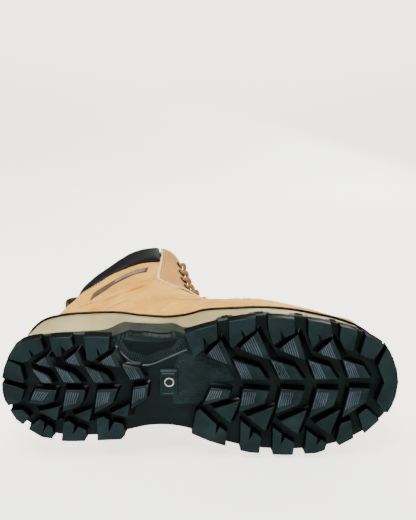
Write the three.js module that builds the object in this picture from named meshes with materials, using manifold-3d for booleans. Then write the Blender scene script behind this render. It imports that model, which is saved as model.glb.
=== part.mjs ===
// Steel toe work boot, right foot, about UK 9 (EU 43): a lugged rubber outsole, a foamed midsole, a lasted leather
// upper with a padded collar and tongue, a steel toe cap, a shank, a heel counter, a footbed, eyelets and a lace.
// Millimetres. The boot stands on z = 0 with its toe towards -Y, the outer (lateral) side towards -X and the
// origin under the middle of the sole. Sole stations are written as (s, u): s runs forward from the back of the
// heel, u runs outwards to the lateral side.
import * as THREE from "three";
import { mergeVertices } from "three/addons/utils/BufferGeometryUtils.js";
import Module from "manifold-3d";

const wasm = await Module();
wasm.setup();

// ---------------------------------------------------------------- driving dimensions
const SOLE_LENGTH = 308;
const LUG_DEPTH = 5.5;
const OUTSOLE_SKIN = 3.5;
const GAP = 0.4; // clearance kept between touching pieces
const LEATHER = 2;
const LINING = 1.4;
const LINING_DEPTH = 4.3; // from the leather's outer face to the lining's outer face
const STIFFENER = 1.5; // steel toe cap and heel counter
const TOE_SPRING = 9;
const SPRING_START = 235; // the sole starts to rise here
const LACE_RADIUS = 1.7;
const MIDDLE = 1.75; // the sole's middle lies this far to the medial side of u = 0

// ---------------------------------------------------------------- small helpers
const lerp = (a, b, t) => a + (b - a) * t;
const clamp01 = (x) => Math.min(1, Math.max(0, x));
const radians = (degrees) => (degrees * Math.PI) / 180;

function smooth(from, to, x) {
  const t = clamp01((x - from) / (to - from));
  return t * t * (3 - 2 * t);
}

// A value that runs smoothly through [[x, value], ...].
function through(knots) {
  return (x) => {
    const last = knots.length - 1;
    if (x <= knots[0][0]) return knots[0][1];
    if (x >= knots[last][0]) return knots[last][1];
    const i = knots.findIndex((knot, k) => k < last && x < knots[k + 1][0]);
    const slope = (k) => {
      const a = knots[Math.max(0, k - 1)];
      const b = knots[Math.min(last, k + 1)];
      return (b[1] - a[1]) / (b[0] - a[0]);
    };
    const [x0, y0] = knots[i];
    const [x1, y1] = knots[i + 1];
    const h = x1 - x0;
    const t = (x - x0) / h;
    const bend = t * (1 - t);
    const line = lerp(y0, y1, t);
    const rise = (y1 - y0) / h;
    return line + h * bend * ((1 - t) * (slope(i) - rise) - t * (slope(i + 1) - rise));
  };
}

const place = (s, u, z) => new THREE.Vector3(-u - MIDDLE, SOLE_LENGTH / 2 - s, z);

// ---------------------------------------------------------------- solids
function geometryOf(points, triangles) {
  const geometry = new THREE.BufferGeometry().setFromPoints(points);
  geometry.setIndex(triangles.flat());
  return geometry;
}

function solidOf(geometry) {
  const bare = geometry.index ? geometry.toNonIndexed() : geometry.clone();
  bare.deleteAttribute("normal");
  bare.deleteAttribute("uv");
  const merged = mergeVertices(bare, 1e-4);
  const solid = new wasm.Manifold(
    new wasm.Mesh({
      numProp: 3,
      vertProperties: merged.attributes.position.array,
      triVerts: new Uint32Array(merged.index.array),
    }),
  );
  if (solid.volume() > 0) return solid;
  const flipped = merged.index.array.slice();
  for (let i = 0; i < flipped.length; i += 3) flipped.subarray(i, i + 3).reverse();
  merged.setIndex(new THREE.BufferAttribute(flipped, 1));
  return solidOf(merged);
}

function geometryFrom(solid) {
  const mesh = solid.getMesh();
  const positions = new Float32Array(mesh.numVert * 3);
  for (let i = 0; i < mesh.numVert; i++) {
    positions.set(mesh.vertProperties.subarray(i * mesh.numProp, i * mesh.numProp + 3), i * 3);
  }
  const geometry = new THREE.BufferGeometry();
  geometry.setAttribute("position", new THREE.BufferAttribute(positions, 3));
  geometry.setIndex(new THREE.BufferAttribute(new Uint32Array(mesh.triVerts), 1));
  return geometry;
}

const boot = new THREE.Group();

function add(name, solid, material) {
  const mesh = new THREE.Mesh(geometryFrom(solid), material);
  mesh.name = name;
  boot.add(mesh);
}

const material = (color, roughness, metalness = 0) =>
  new THREE.MeshStandardMaterial({ color, roughness, metalness });
const blackRubber = material(0x23282a, 0.6);
const sandFoam = material(0xcfc3a0, 0.8);
const wheatNubuck = material(0xdcae6f, 0.85);
const blackPadding = material(0x2f3739, 0.7);
const brownWebbing = material(0x6f5a48, 0.8);
const steel = material(0x9a9da0, 0.4, 1);
const blackMetal = material(0x2a2522, 0.4, 0.8);
const fibreboard = material(0xb9a584, 0.9);
const greyTextile = material(0x5d6164, 0.95);
const greyFoam = material(0x7c8288, 0.9);
const tanLace = material(0xb98a55, 0.85);

// ---------------------------------------------------------------- sole outline and levels
// The edge of the sole seen from above, as [s, u], from the back of the heel along the lateral side and back.
const SOLE_EDGE = [
  [0, -1], [2, 12], [8, 25], [19, 35], [36, 39.5], [60, 40.5], [84, 39.5], [102, 36], [121, 35.5],
  [138, 40], [155, 48], [177, 53.5], [200, 56], [222, 55], [245, 51], [266, 45], [283, 36], [296, 24],
  [304, 9], [308, -7], [305, -20], [298, -32], [287, -41.5], [271, -50], [250, -56], [225, -59],
  [200, -58], [180, -54.5], [160, -48], [144, -41], [127, -37.5], [110, -38], [95, -41.5], [78, -45.5],
  [60, -46.5], [40, -45.5], [25, -41], [13, -32], [5, -21], [1, -11],
];
const edgeCurve = new THREE.CatmullRomCurve3(SOLE_EDGE.map(([s, u]) => new THREE.Vector3(s, u, 0)), true);
const edgePoints = edgeCurve.getSpacedPoints(600);

// Where the outline crosses station s on the side of the given sign.
function edgeAt(s, side) {
  const heel = edgePoints[0].y;
  const toe = -7;
  const middle = lerp(heel, toe, s / SOLE_LENGTH);
  let best = middle;
  for (let i = 0; i < edgePoints.length - 1; i++) {
    const a = edgePoints[i];
    const b = edgePoints[i + 1];
    if ((a.x - s) * (b.x - s) > 0 || a.x === b.x) continue;
    const u = lerp(a.y, b.y, (s - a.x) / (b.x - a.x));
    if ((u - middle) * side > 0) best = u;
  }
  return best;
}

const STATIONS = 26;
const sole = Array.from({ length: STATIONS + 1 }, (_, k) => {
  const s = (SOLE_LENGTH / 2) * (1 - Math.cos((Math.PI * k) / STATIONS));
  const lateral = edgeAt(s, 1);
  const medial = edgeAt(s, -1);
  return { s, middle: (lateral + medial) / 2, half: k % STATIONS ? (lateral - medial) / 2 : 0 };
});

// Half-widths of the shrunk outline at any s.
function widthAt(s, inset) {
  const from = clamp01((s - inset) / (SOLE_LENGTH - 2 * inset)) * SOLE_LENGTH;
  return { lateral: edgeAt(from, 1) - inset, medial: -edgeAt(from, -1) - inset };
}

const spring = (s) => TOE_SPRING * clamp01((s - SPRING_START) / (SOLE_LENGTH - SPRING_START)) ** 2;
const outsoleFace = (s) => LUG_DEPTH + spring(s);
const outsoleFloor = (s) => LUG_DEPTH + OUTSOLE_SKIN + spring(s);
// The top of the outsole's side wall, which steps up at the waist, and the top and inset of the midsole's lip.
const wallCurve = through([
  [0, 11], [60, 12.5], [82, 16], [92, 31], [127, 31], [140, 16], [152, 11.5], [270, 12.5], [308, 19],
]);
const wallTop = (s) => wallCurve(s) + spring(s);
const floorCurve = through([[0, 30], [85, 30], [130, 26], [185, 15.5], [220, 14], [308, 14]]);
const footFloor = (s) => floorCurve(s) + spring(s);
const lipCurve = through([
  [0, 41], [50, 44], [85, 46.5], [112, 47], [150, 36], [185, 28], [240, 26.5], [308, 27],
]);
const lipTop = (s) => lipCurve(s) + spring(s);
const lipInset = through([
  [0, 2.5], [80, 1.5], [130, 0.5], [180, 3.8], [250, 4.6], [290, 3.6], [308, 2.8],
]);

// Leaves out the triangles that have shrunk to a line, as they do where the outline comes to a point.
const whole = (triangles, points) =>
  triangles.filter(([a, b, c]) => {
    const [pa, pb, pc] = [points[a], points[b], points[c]];
    return pa.distanceTo(pb) > 1e-4 && pb.distanceTo(pc) > 1e-4 && pc.distanceTo(pa) > 1e-4;
  });

// A closed body made of rings round the sole, from the bottom up; each level gives its inset and its height.
function layered(levels) {
  const points = [];
  const triangles = [];
  const around = 2 * STATIONS;
  for (const { inset, height } of levels) {
    for (let i = 0; i < around; i++) {
      const { s, middle, half } = sole[i <= STATIONS ? i : around - i];
      const depth = inset(s);
      const station = lerp(depth, SOLE_LENGTH - depth, s / SOLE_LENGTH);
      const width = half && Math.max(0.5, half - depth);
      points.push(place(station, i <= STATIONS ? middle + width : middle - width, height(s, station)));
    }
  }
  for (let level = 0; level + 1 < levels.length; level++) {
    for (let i = 0; i < around; i++) {
      const a = level * around + i;
      const b = level * around + ((i + 1) % around);
      triangles.push([a, b, b + around], [a, b + around, a + around]);
    }
  }
  for (const [base, top] of [[0, false], [(levels.length - 1) * around, true]]) {
    for (let k = 0; k < STATIONS; k++) {
      const m0 = base + ((around - k) % around);
      const m1 = base + around - k - 1;
      const cap = [];
      if (k > 0) cap.push([base + k, m0, base + k + 1]);
      if (k < STATIONS - 1) cap.push([base + k + 1, m0, m1]);
      triangles.push(...cap.map(([a, b, c]) => (top ? [a, c, b] : [a, b, c])));
    }
  }
  return solidOf(geometryOf(points, triangles));
}

// ---------------------------------------------------------------- tread pattern
// Each row is one lug outline, [s, u] from its own first point, and the places where that first point goes.
const MID_LATERAL = [[0, 0], [20.5, -9.5], [26.5, -19.5], [8, -19.5]];
const MID_MEDIAL = [[0, 0], [18.5, -3], [15.5, -15], [-4, -23.5], [-4, -14.5]];
const WEDGE_LATERAL = [[0, 0], [12.5, 12.5], [20.5, -8.5]];
const WEDGE_MEDIAL = [[0, 0], [19.5, 8.5], [13.5, -12.5]];
const HEEL_LATERAL = [[0, 0], [15.5, -6.5], [21, -13], [6.5, -14]];
const HEEL_MEDIAL = [[0, 0], [16, -1], [12, -12], [-3.5, -18], [-3, -11]];
const HEEL_WEDGE_LATERAL = [[0, 0], [12.5, 9.5], [17, -3]];
const HEEL_WEDGE_MEDIAL = [[0, 0], [14.5, 6.5], [12, -8]];
const LUG_ROWS = [
  { outline: MID_LATERAL, at: [[175, 25], [203, 25], [231, 25], [257, 24]] },
  { outline: MID_MEDIAL, at: [[184, -2.5], [212.5, -2.5], [240.5, -2.5], [266, -3.5]] },
  { outline: WEDGE_LATERAL, at: [[156, 24.5], [182, 31], [210.5, 30.5], [239, 28]] },
  { outline: WEDGE_MEDIAL, at: [[161, -19.5], [188, -26.5], [213.5, -30], [239.5, -31]] },
  { outline: HEEL_LATERAL, at: [[22.5, 16.5], [43, 16.5], [66, 16.5], [91.5, 18.5]] },
  { outline: HEEL_MEDIAL, at: [[25.5, -2.5], [49, -3.5], [73, -3], [99.5, -0.5]] },
  { outline: HEEL_WEDGE_LATERAL, at: [[26, 19], [48, 20.5], [75.5, 20]] },
  { outline: HEEL_WEDGE_MEDIAL, at: [[27, -22.5], [54, -24.5], [82, -23]] },
];
// The lugs along the edge, which differ all the way round.
const EDGE_LUGS = [
  [[1, 6.5], [3, 15.5], [6.5, 22.5], [16.5, 17.5], [18.5, 5], [19, 0.5]],
  [[0.5, 3.5], [18.5, -3], [14.5, -13], [3.5, -14.5], [0.5, -7]],
  [[7.5, 25], [11, 31], [20, 36.5], [32, 39.5], [35.5, 29.5], [21, 21]],
  [[39.5, 40.5], [55, 41], [57.5, 33], [44, 24.5], [41, 29]],
  [[65, 41], [83, 41], [83.5, 29.5], [70.5, 21.5], [66, 26]],
  [[4.5, -20], [17, -19], [22, -26], [14, -33], [8, -28]],
  [[17, -35.5], [27, -29], [37, -34.5], [36, -45.5], [27, -44], [20, -40]],
  [[46, -30], [51, -29], [63.5, -37], [61.5, -47.5], [43, -47.5]],
  [[73, -26], [76.5, -25], [92.5, -31.5], [92.5, -44], [85, -47.5], [71, -47.5]],
  [[141, 44], [152, 48], [164, 50.5], [164.5, 39], [147.5, 24.5]],
  [[173, 53.5], [192, 56.5], [192, 46], [176, 31.5], [174, 38]],
  [[202, 57.5], [222, 56.5], [222, 44], [206, 35], [202, 45]],
  [[232, 55], [249.5, 51.5], [249.5, 41], [235, 33], [231, 42]],
  [[256.5, 49], [269, 45.5], [267.5, 28], [259, 30.5], [256, 38]],
  [[277.5, 41], [285.5, 36.5], [292.5, 28.5], [284.5, 18], [273.5, 24.5]],
  [[295, 27.5], [302.5, 15], [307, 2], [308, -8], [306.5, -17], [303, -26], [299.5, -31.5],
    [296, -30], [288, -19], [296, -4.5], [287, 13.5]],
  [[150, -21], [153.5, -19], [171, -39], [170.5, -51.5], [158, -48], [145.5, -42]],
  [[183, -28], [185, -28.5], [199, -42], [198.5, -59.5], [190, -59.5], [182, -56]],
  [[208, -33], [210, -33.5], [224.5, -48], [224, -61], [208, -61]],
  [[234, -37], [236, -37.5], [250, -50.5], [249.5, -56.5], [242, -59.5], [233, -59.5]],
  [[260, -33.5], [268.5, -30.5], [272, -45.5], [271.5, -50], [260.5, -53], [258, -45.5]],
  [[275, -26.5], [282.5, -24.5], [292.5, -34.5], [293.5, -38], [281.5, -46], [279, -42]],
];
const LUG_OUTLINES = [
  ...LUG_ROWS.flatMap(({ outline, at }) =>
    at.map(([s, u]) => outline.map(([ds, du]) => [s + ds, u + du])),
  ),
  ...EDGE_LUGS,
];

// One lug: flat on the ground side, sunk into the outsole's face on the other.
function lug(outline) {
  const flat = outline.map(([s, u]) => new THREE.Vector2(s, u));
  if (THREE.ShapeUtils.isClockWise(flat)) flat.reverse();
  const count = flat.length;
  const sunk = LUG_DEPTH + 1;
  const points = [0, sunk].flatMap((rise) =>
    flat.map(({ x: s, y: u }) => place(s, u, spring(s) + rise)),
  );
  const faces = THREE.ShapeUtils.triangulateShape(flat, []);
  const triangles = faces.map(([a, b, c]) => [a, b, c]);
  triangles.push(...faces.map(([a, b, c]) => [a + count, c + count, b + count]));
  for (let i = 0; i < count; i++) {
    const j = (i + 1) % count;
    triangles.push([i, i + count, j], [j, i + count, j + count]);
  }
  return solidOf(geometryOf(points, triangles));
}

const OUTSOLE_WALL = 3;
const wallInset = (s) => lipInset(s) / 3;

function outsole() {
  const cup = layered([
    { inset: () => 1, height: outsoleFace },
    { inset: () => 0, height: (s) => outsoleFace(s) + 2 },
    { inset: wallInset, height: wallTop },
    { inset: (s) => wallInset(s) + OUTSOLE_WALL, height: wallTop },
    { inset: (s) => wallInset(s) + OUTSOLE_WALL, height: outsoleFloor },
  ]);
  return LUG_OUTLINES.reduce((body, outline) => body.add(lug(outline)), cup);
}

// ---------------------------------------------------------------- the upper's outer face
// Sections through the upper, from the toe back and up the leg. Each joins a point under or behind the foot
// (back) to one on the instep (front), both [s, z]. Lateral and medial are its half-widths, and the last two
// numbers say how square it is in front and at the back: 2 is an ellipse, 4 is nearly a box.
const UPPER_INSET = through([
  [0, 7], [80, 6], [130, 5], [180, 8.5], [250, 9.5], [290, 8.5], [308, 7.5],
]);
const footSection = (s, top, squareTop) => {
  const { lateral, medial } = widthAt(s, UPPER_INSET(s));
  return [[s, footFloor(s) + 1], [s, top], lateral, medial, squareTop, 4.5];
};
const SECTIONS = [
  [[301, 38], [301, 38], -7, 7, 2, 2],
  [[299.8, 30], [299.8, 48], 3, 16.5, 2.1, 2.3],
  [[296.5, footFloor(296) + 2.5], [296.5, 56.5], 11, 23.5, 2.3, 3],
  [[289.5, footFloor(289) + 1], [289.5, 64.5], 21, 31.5, 2.4, 3.6],
  [[278.5, footFloor(278) + 1], [278.5, 69.5], 30.5, 39, 2.5, 4.2],
  footSection(261, 72, 2.4),
  footSection(242, 73, 2.3),
  footSection(222, 77, 2.2),
  footSection(203, 86, 2.1),
  [[182, footFloor(182) + 1], [187, 98], 43.5, 47, 2, 4.5],
  [[152, footFloor(152) + 1], [172, 110.5], 38.5, 41, 2, 4.5],
  [[120, footFloor(120) + 1], [160, 122.5], 34.5, 37, 2, 4.2],
  [[85, footFloor(85) + 1], [151.5, 135], 34.5, 38, 2.1, 3.8],
  [[50, footFloor(50) + 1], [146, 146.5], 35, 39, 2.2, 3.4],
  [[21, 33], [142.5, 156.5], 33.5, 38, 2.2, 2.4],
  [[9, 47], [140, 166], 34, 38, 2.2, 1.9],
  [[7.5, 70], [137.5, 177], 35, 38, 2.2, 1.8],
  [[10, 93], [135, 188], 35.5, 38.5, 2.3, 1.75],
  [[14.5, 115], [132.5, 199], 36.5, 39.5, 2.4, 1.7],
  [[19, 135], [130, 210], 38.5, 41, 2.5, 1.65],
  [[22.5, 153], [127, 221], 41.5, 43, 2.6, 1.65],
  [[24.5, 171], [124, 232], 45, 45, 2.7, 1.65],
  [[25, 189], [121, 243], 47.5, 47, 2.7, 1.65],
];
const sectionValue = (pick) => through(SECTIONS.map((section, t) => [t, pick(section)]));
const backS = sectionValue((x) => x[0][0]);
const backZ = sectionValue((x) => x[0][1]);
const frontS = sectionValue((x) => x[1][0]);
const frontZ = sectionValue((x) => x[1][1]);
const lateralHalf = sectionValue((x) => x[2]);
const medialHalf = sectionValue((x) => x[3]);
const squareFront = sectionValue((x) => x[4]);
const squareBack = sectionValue((x) => x[5]);

// The point on the upper's outer face at section t and angle (degrees from the instep, lateral side positive).
function facePoint(t, angle) {
  const sine = Math.sin(radians(angle));
  const cosine = Math.cos(radians(angle));
  const square = cosine > 0 ? squareFront(t) : squareBack(t);
  const across = Math.sign(sine) * Math.abs(sine) ** (2 / square);
  const along = Math.sign(cosine) * Math.abs(cosine) ** (2 / square);
  const left = lateralHalf(t);
  const right = medialHalf(t);
  const u = (left - right) / 2 + (across * (left + right)) / 2;
  const share = (1 + along) / 2;
  return place(lerp(backS(t), frontS(t), share), u, lerp(backZ(t), frontZ(t), share));
}

// The same point moved off the face by offset, outwards when it is positive.
function upperPoint(t, angle, offset) {
  const point = facePoint(t, angle);
  if (t === 0) return point.add(new THREE.Vector3(0, -offset, 0));
  const step = Math.min(t, 0.02);
  const along = facePoint(t + step, angle).sub(facePoint(t - step, angle));
  const around = facePoint(t, angle + 1).sub(facePoint(t, angle - 1));
  return point.addScaledVector(along.cross(around).normalize(), offset);
}

// A sheet over the upper. at(p, q) gives [section, angle] for p and q from 0 to 1; inner and outer are offsets.
function sheet(at, rows, columns, inner, outer) {
  const offsetAt = (value, p, q) => (typeof value === "function" ? value(p, q) : value);
  const points = [];
  const triangles = [];
  const across = columns + 1;
  const layer = (rows + 1) * across;
  for (const offset of [outer, inner]) {
    for (let i = 0; i <= rows; i++) {
      for (let j = 0; j <= columns; j++) {
        const [t, angle] = at(i / rows, j / columns);
        points.push(upperPoint(t, angle, offsetAt(offset, i / rows, j / columns)));
      }
    }
  }
  for (let i = 0; i < rows; i++) {
    for (let j = 0; j < columns; j++) {
      const a = i * across + j;
      const b = a + across;
      triangles.push([a, b, a + 1], [a + 1, b, b + 1]);
      triangles.push([a + layer, a + 1 + layer, b + layer], [a + 1 + layer, b + 1 + layer, b + layer]);
    }
  }
  const rim = [];
  for (let j = 0; j < columns; j++) rim.push(j);
  for (let i = 0; i < rows; i++) rim.push(i * across + columns);
  for (let j = columns; j > 0; j--) rim.push(rows * across + j);
  for (let i = rows; i > 0; i--) rim.push(i * across);
  rim.forEach((a, k) => {
    const b = rim[(k + 1) % rim.length];
    triangles.push([a, b, a + layer], [b, b + layer, a + layer]);
  });
  return solidOf(geometryOf(points, whole(triangles, points)));
}

// Every layer over the toe has its rows at these sections, so that the layers stay parallel to each other.
const TOE_ROWS = [0, 0.25, 0.6, 1, 1.6, 2.5, 3.5, 4.5, 5.5, 6.4, 7.5];
const LEG_ROWS = [8.5, 9.5, 10.5, 11.5, 12.5, 13, 13.5, 14, 14.5, 15, 15.5, 16, 17, 18, 19, 20];
const rowOf = (rows, p) => rows[Math.round(p * (rows.length - 1))];

// The whole upper as one closed body, grown by offset, to cut its neighbours with.
function envelope(offset) {
  const rows = [...TOE_ROWS, ...LEG_ROWS];
  const columns = 24;
  const points = rows.flatMap((t) =>
    Array.from({ length: columns }, (_, j) => upperPoint(t, (j * 360) / columns - 180, offset)),
  );
  const triangles = [];
  for (let i = 0; i + 1 < rows.length; i++) {
    for (let j = 0; j < columns; j++) {
      const a = i * columns + j;
      const b = i * columns + ((j + 1) % columns);
      triangles.push([a, a + columns, b], [b, a + columns, b + columns]);
    }
  }
  const top = (rows.length - 1) * columns;
  for (let j = 1; j + 1 < columns; j++) triangles.push([top, top + j + 1, top + j]);
  return solidOf(geometryOf(points, whole(triangles, points)));
}

// ---------------------------------------------------------------- seams of the upper
// Edges and seams, as the section t at which each one crosses an angle, or the angle at which it crosses a section.
const LASTED = 150; // where the upper's lower edge is turned in under the foot
const UNDER_FOOT = 13.4; // sections past this one close behind the heel instead of staying open under the foot
const SEAM = 0.5; // degrees left between neighbours at an upright seam
const throatEdge = through([[0, 15], [9.8, 12], [13, 15], [16, 19], [22, 22]]);
const facingEdge = through([[9.6, 25], [11, 32], [13, 42], [14.8, 55], [15.6, 61], [22, 61]]);
const eyeletAngle = (t) => throatEdge(t) + 10;
const lowerEdge = (t) => lerp(LASTED, 180 - SEAM / 2, smooth(UNDER_FOOT, 14.3, t));
const vampRear = through([[0, 9.6], [45, 9.2], [90, 8.8], [120, 9.2], [150, 9.8]]);
const ankleSeam = through([
  [30, 14], [61, 15.5], [75, 15.1], [95, 14.7], [110, 14.7], [130, 15.3], [180, 16],
]);
const padLower = through([
  [61, 18.7], [87, 18.35], [106, 17.95], [125, 17.7], [150, 18.6], [170, 19.9], [180, 20.1],
]);
const collarTop = through([
  [0, 20.9], [61, 21], [75, 21], [90, 20.8], [105, 20.4], [120, 20.1], [140, 19.9], [160, 20.6], [180, 21.2],
]);
const labelTop = through([[74, 17.75], [85, 17.5], [95, 17], [106, 16.4], [118, 15.8]]);
const LABEL_HEIGHT = 0.85;

// Both sides are made from the same layout; side is 1 for lateral and -1 for medial.
const panel = (side, at, rows, columns, inner, outer) =>
  sheet(
    (p, q) => {
      const [t, angle] = at(p, q);
      return [t, side * angle];
    },
    rows,
    columns,
    inner,
    outer,
  );

// A layer over the toe, from the tip back to the section that rear gives for each angle.
const toeLayer = (rows, rear, inner, outer) =>
  sheet(
    (p, q) => {
      const angle = lerp(-LASTED, LASTED, q);
      return [p < 1 ? rowOf([...rows, 0], p) : rear(Math.abs(angle)), angle];
    },
    rows.length,
    20,
    inner,
    outer,
  );
const vamp = () => toeLayer(TOE_ROWS, vampRear, -LEATHER, 0);
const vampLining = () => toeLayer(TOE_ROWS, () => 8.6, -LINING_DEPTH - LINING, -LINING_DEPTH);
const toeCap = () => toeLayer(TOE_ROWS.slice(0, -2), () => 6.4, -LEATHER - GAP - STIFFENER, -LEATHER - GAP);

const quarter = (side) =>
  panel(
    side,
    (p, q) => {
      let angle = lerp(30, 165, q);
      let t = 0;
      for (let pass = 0; pass < 6; pass++) {
        t = lerp(vampRear(angle) + 0.08, ankleSeam(angle), p);
        angle = lerp(facingEdge(t) + 2 * SEAM, lowerEdge(t), q);
      }
      return [t, angle];
    },
    12, 12, -LEATHER, 0,
  );
const shaftPanel = (side) =>
  panel(
    side,
    (p, q) => {
      const angle = lerp(61 + 2 * SEAM, 180 - SEAM / 2, q);
      return [lerp(ankleSeam(angle) + 0.05, padLower(angle), p), angle];
    },
    5, 10, -LEATHER, 0,
  );
const eyestay = (side) =>
  panel(
    side,
    (p, q) => {
      const from = vampRear(20) + 0.1;
      const t = lerp(from, collarTop(0), p);
      return [t, lerp(throatEdge(t), facingEdge(t), q)];
    },
    14, 4, -LEATHER, 0.8,
  );
const quarterLining = (side) =>
  panel(
    side,
    (p, q) => {
      const t = lerp(9.1, 20.9, p);
      return [t, lerp(eyeletAngle(t) + 8, lowerEdge(t) - 2 * SEAM, q)];
    },
    14, 10, -LINING_DEPTH - LINING, -LINING_DEPTH,
  );
const collarPad = () =>
  sheet(
    (p, q) => {
      const angle = lerp(61 + 3 * SEAM, 299 - 3 * SEAM, q);
      const behind = angle > 180 ? 360 - angle : angle;
      return [lerp(padLower(behind) + 0.06, collarTop(behind), p), angle];
    },
    6, 22, -LINING_DEPTH + GAP, (p) => 0.5 + 3.4 * Math.sin(Math.PI * p) ** 0.7,
  );
const COUNTER_OUTSIDE = -LEATHER - 2 * GAP - 0.1;
const heelCounter = () =>
  sheet(
    (p, q) => [lerp(15.2, 17.4, p), lerp(105, 255, q)],
    6, 18, COUNTER_OUTSIDE - 1, COUNTER_OUTSIDE,
  );
const backstay = () =>
  sheet(
    (p, q) => [lerp(15.1, 18.45, p), lerp(168 - 4 * p, 192 + 4 * p, q)],
    7, 4, GAP, LEATHER,
  );

const TONGUE_BASE = 8.4;
const TONGUE_TOP = 21.4;
const TONGUE_DEPTH = 7.6;
const tongue = () =>
  sheet(
    (p, q) => {
      const half = lerp(30, 42, smooth(0, 0.5, p));
      return [lerp(TONGUE_BASE, TONGUE_TOP, p), lerp(-half, half, q)];
    },
    14, 8, (p) => -TONGUE_DEPTH - lerp(1.6, 5, smooth(0, 0.3, p)), -TONGUE_DEPTH,
  );

// ---------------------------------------------------------------- eyelets and lace
const EYELET_SECTIONS = [10.7, 11.9, 13.2, 14.7, 16.2, 17.7, 19.2];
const EYELET_BORE = 3;
const EYELET_FLANGE = 4.9;
const EYELET_TOP = 1.25;
const EYELET_BOTTOM = -3.2;
const LACE_UNDER = -5;
const LACE_OVER = 4.1;
const LACE_FACETS = 6;

// A frame on the upper's face, with its z axis pointing out.
function standOn(geometry, t, angle) {
  const out = upperPoint(t, angle, 1).sub(upperPoint(t, angle, 0)).normalize();
  const turn = new THREE.Quaternion().setFromUnitVectors(new THREE.Vector3(0, 1, 0), out);
  const at = upperPoint(t, angle, 0);
  return geometry.applyQuaternion(turn).translate(at.x, at.y, at.z);
}

function eyelet(t, angle) {
  const profile = [
    [EYELET_BORE, EYELET_BOTTOM], [EYELET_BORE + 0.5, EYELET_BOTTOM], [EYELET_BORE + 0.5, EYELET_TOP],
    [EYELET_FLANGE, EYELET_TOP], [EYELET_BORE + 0.9, EYELET_TOP + 0.9], [EYELET_BORE, EYELET_TOP + 0.5],
    [EYELET_BORE, EYELET_BOTTOM],
  ];
  const outline = profile.map(([radius, height]) => new THREE.Vector2(radius, height));
  return solidOf(standOn(new THREE.LatheGeometry(outline, 8), t, angle));
}

const PUNCH_RADIUS = EYELET_BORE + 0.9;
const punchHole = (t, angle) =>
  solidOf(standOn(new THREE.CylinderGeometry(PUNCH_RADIUS, PUNCH_RADIUS, 24, 8), t, angle));

// One half of the lace: up through each hole, over the edge, across the tongue and under the other edge.
function laceStrand(firstSide) {
  const stops = [upperPoint(EYELET_SECTIONS[0], 0, LACE_UNDER)];
  let side = firstSide;
  EYELET_SECTIONS.forEach((t, row) => {
    const hole = side * eyeletAngle(t);
    const edge = side * (throatEdge(t) - 4);
    const next = EYELET_SECTIONS[row + 1] ?? t + 1.5;
    const crossing = (t + next) / 2;
    stops.push(
      upperPoint(t, edge, LACE_UNDER), upperPoint(t, hole, LACE_UNDER + 1), upperPoint(t, hole, 1.5),
      upperPoint(lerp(t, next, 0.06), side * (eyeletAngle(t) - 4), LACE_OVER + 1.4),
      upperPoint(lerp(t, next, 0.2), side * (throatEdge(t) - 3.5), LACE_OVER - 0.6),
      upperPoint(crossing, 0, (LACE_OVER + LACE_UNDER) / 2 - 1),
    );
    side = -side;
  });
  const last = EYELET_SECTIONS.at(-1) + 1.5;
  stops.push(upperPoint(last, side * (throatEdge(last) - 2), LACE_UNDER));
  const path = new THREE.CatmullRomCurve3(stops, false, "centripetal");
  const corners = Array.from({ length: LACE_FACETS }, (_, k) => {
    const turn = (2 * Math.PI * k) / LACE_FACETS;
    return new THREE.Vector2(LACE_RADIUS * Math.cos(turn), LACE_RADIUS * Math.sin(turn));
  });
  const section = new THREE.Shape(corners);
  const extrusion = { steps: Math.round(1.5 * stops.length), bevelEnabled: false, extrudePath: path };
  return solidOf(new THREE.ExtrudeGeometry(section, extrusion));
}

// ---------------------------------------------------------------- label and pull loop
const sideLabel = () =>
  sheet(
    (p, q) => {
      const angle = lerp(74, 114, q);
      return [labelTop(angle) - LABEL_HEIGHT * (1 - p), angle];
    },
    2, 8, GAP, GAP + 0.9,
  );

const LOOP_WIDTH = 20;
// A webbing loop sewn flat to the back of the leg at both ends, standing off it in between.
function pullLoop() {
  const low = upperPoint(18.65, 180, 0);
  const high = upperPoint(20.0, 180, 0);
  const up = high.clone().sub(low);
  const length = up.length();
  up.normalize();
  const across = new THREE.Vector3(1, 0, 0);
  const out = new THREE.Vector3().crossVectors(up, across);
  const base = upperPoint(19.3, 180, 0).sub(low).dot(out) + 0.9;
  // Both outlines are given as [share of the length, height off the leather].
  const webbing = [
    [0, 0], [1, 0], [1, 1.8], [0.86, 2.2], [0.78, 6], [0.66, 8.4], [0.5, 9], [0.34, 8.4], [0.22, 6],
    [0.14, 2.2], [0, 1.8],
  ];
  const opening = [
    [0.24, 1.7], [0.3, 5.2], [0.39, 6.9], [0.5, 7.3], [0.61, 6.9], [0.7, 5.2], [0.76, 1.7],
  ];
  const points = (outline) =>
    outline.map(([share, height]) => new THREE.Vector2(share * length, base + height));
  const shape = new THREE.Shape(points(webbing));
  shape.holes.push(new THREE.Path(points(opening)));
  const geometry = new THREE.ExtrudeGeometry(shape, { depth: LOOP_WIDTH, bevelEnabled: false });
  geometry.translate(0, 0, -LOOP_WIDTH / 2);
  const turn = new THREE.Matrix4().makeBasis(up, out, across.clone().negate());
  geometry.applyMatrix4(turn).translate(low.x, low.y, low.z);
  return solidOf(geometry);
}

// ---------------------------------------------------------------- sole unit and pieces under the foot
const UNDER_BOARD = LINING_DEPTH + LINING + 1 + 3.5 * GAP; // the turned-in margins lie under the insole board
const BOARD = 2;
const FOOTBED_HEEL = 7;
const FOOTBED_TOE = 4;
const grown = envelope(3.2 * GAP);
const inside = envelope(-LINING_DEPTH - LINING - 5.2 * GAP);

const slab = (inset, bottom, top) =>
  layered([
    { inset: () => inset, height: (s, station) => bottom(station) },
    { inset: () => inset, height: (s, station) => top(station) },
  ]);

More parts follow.
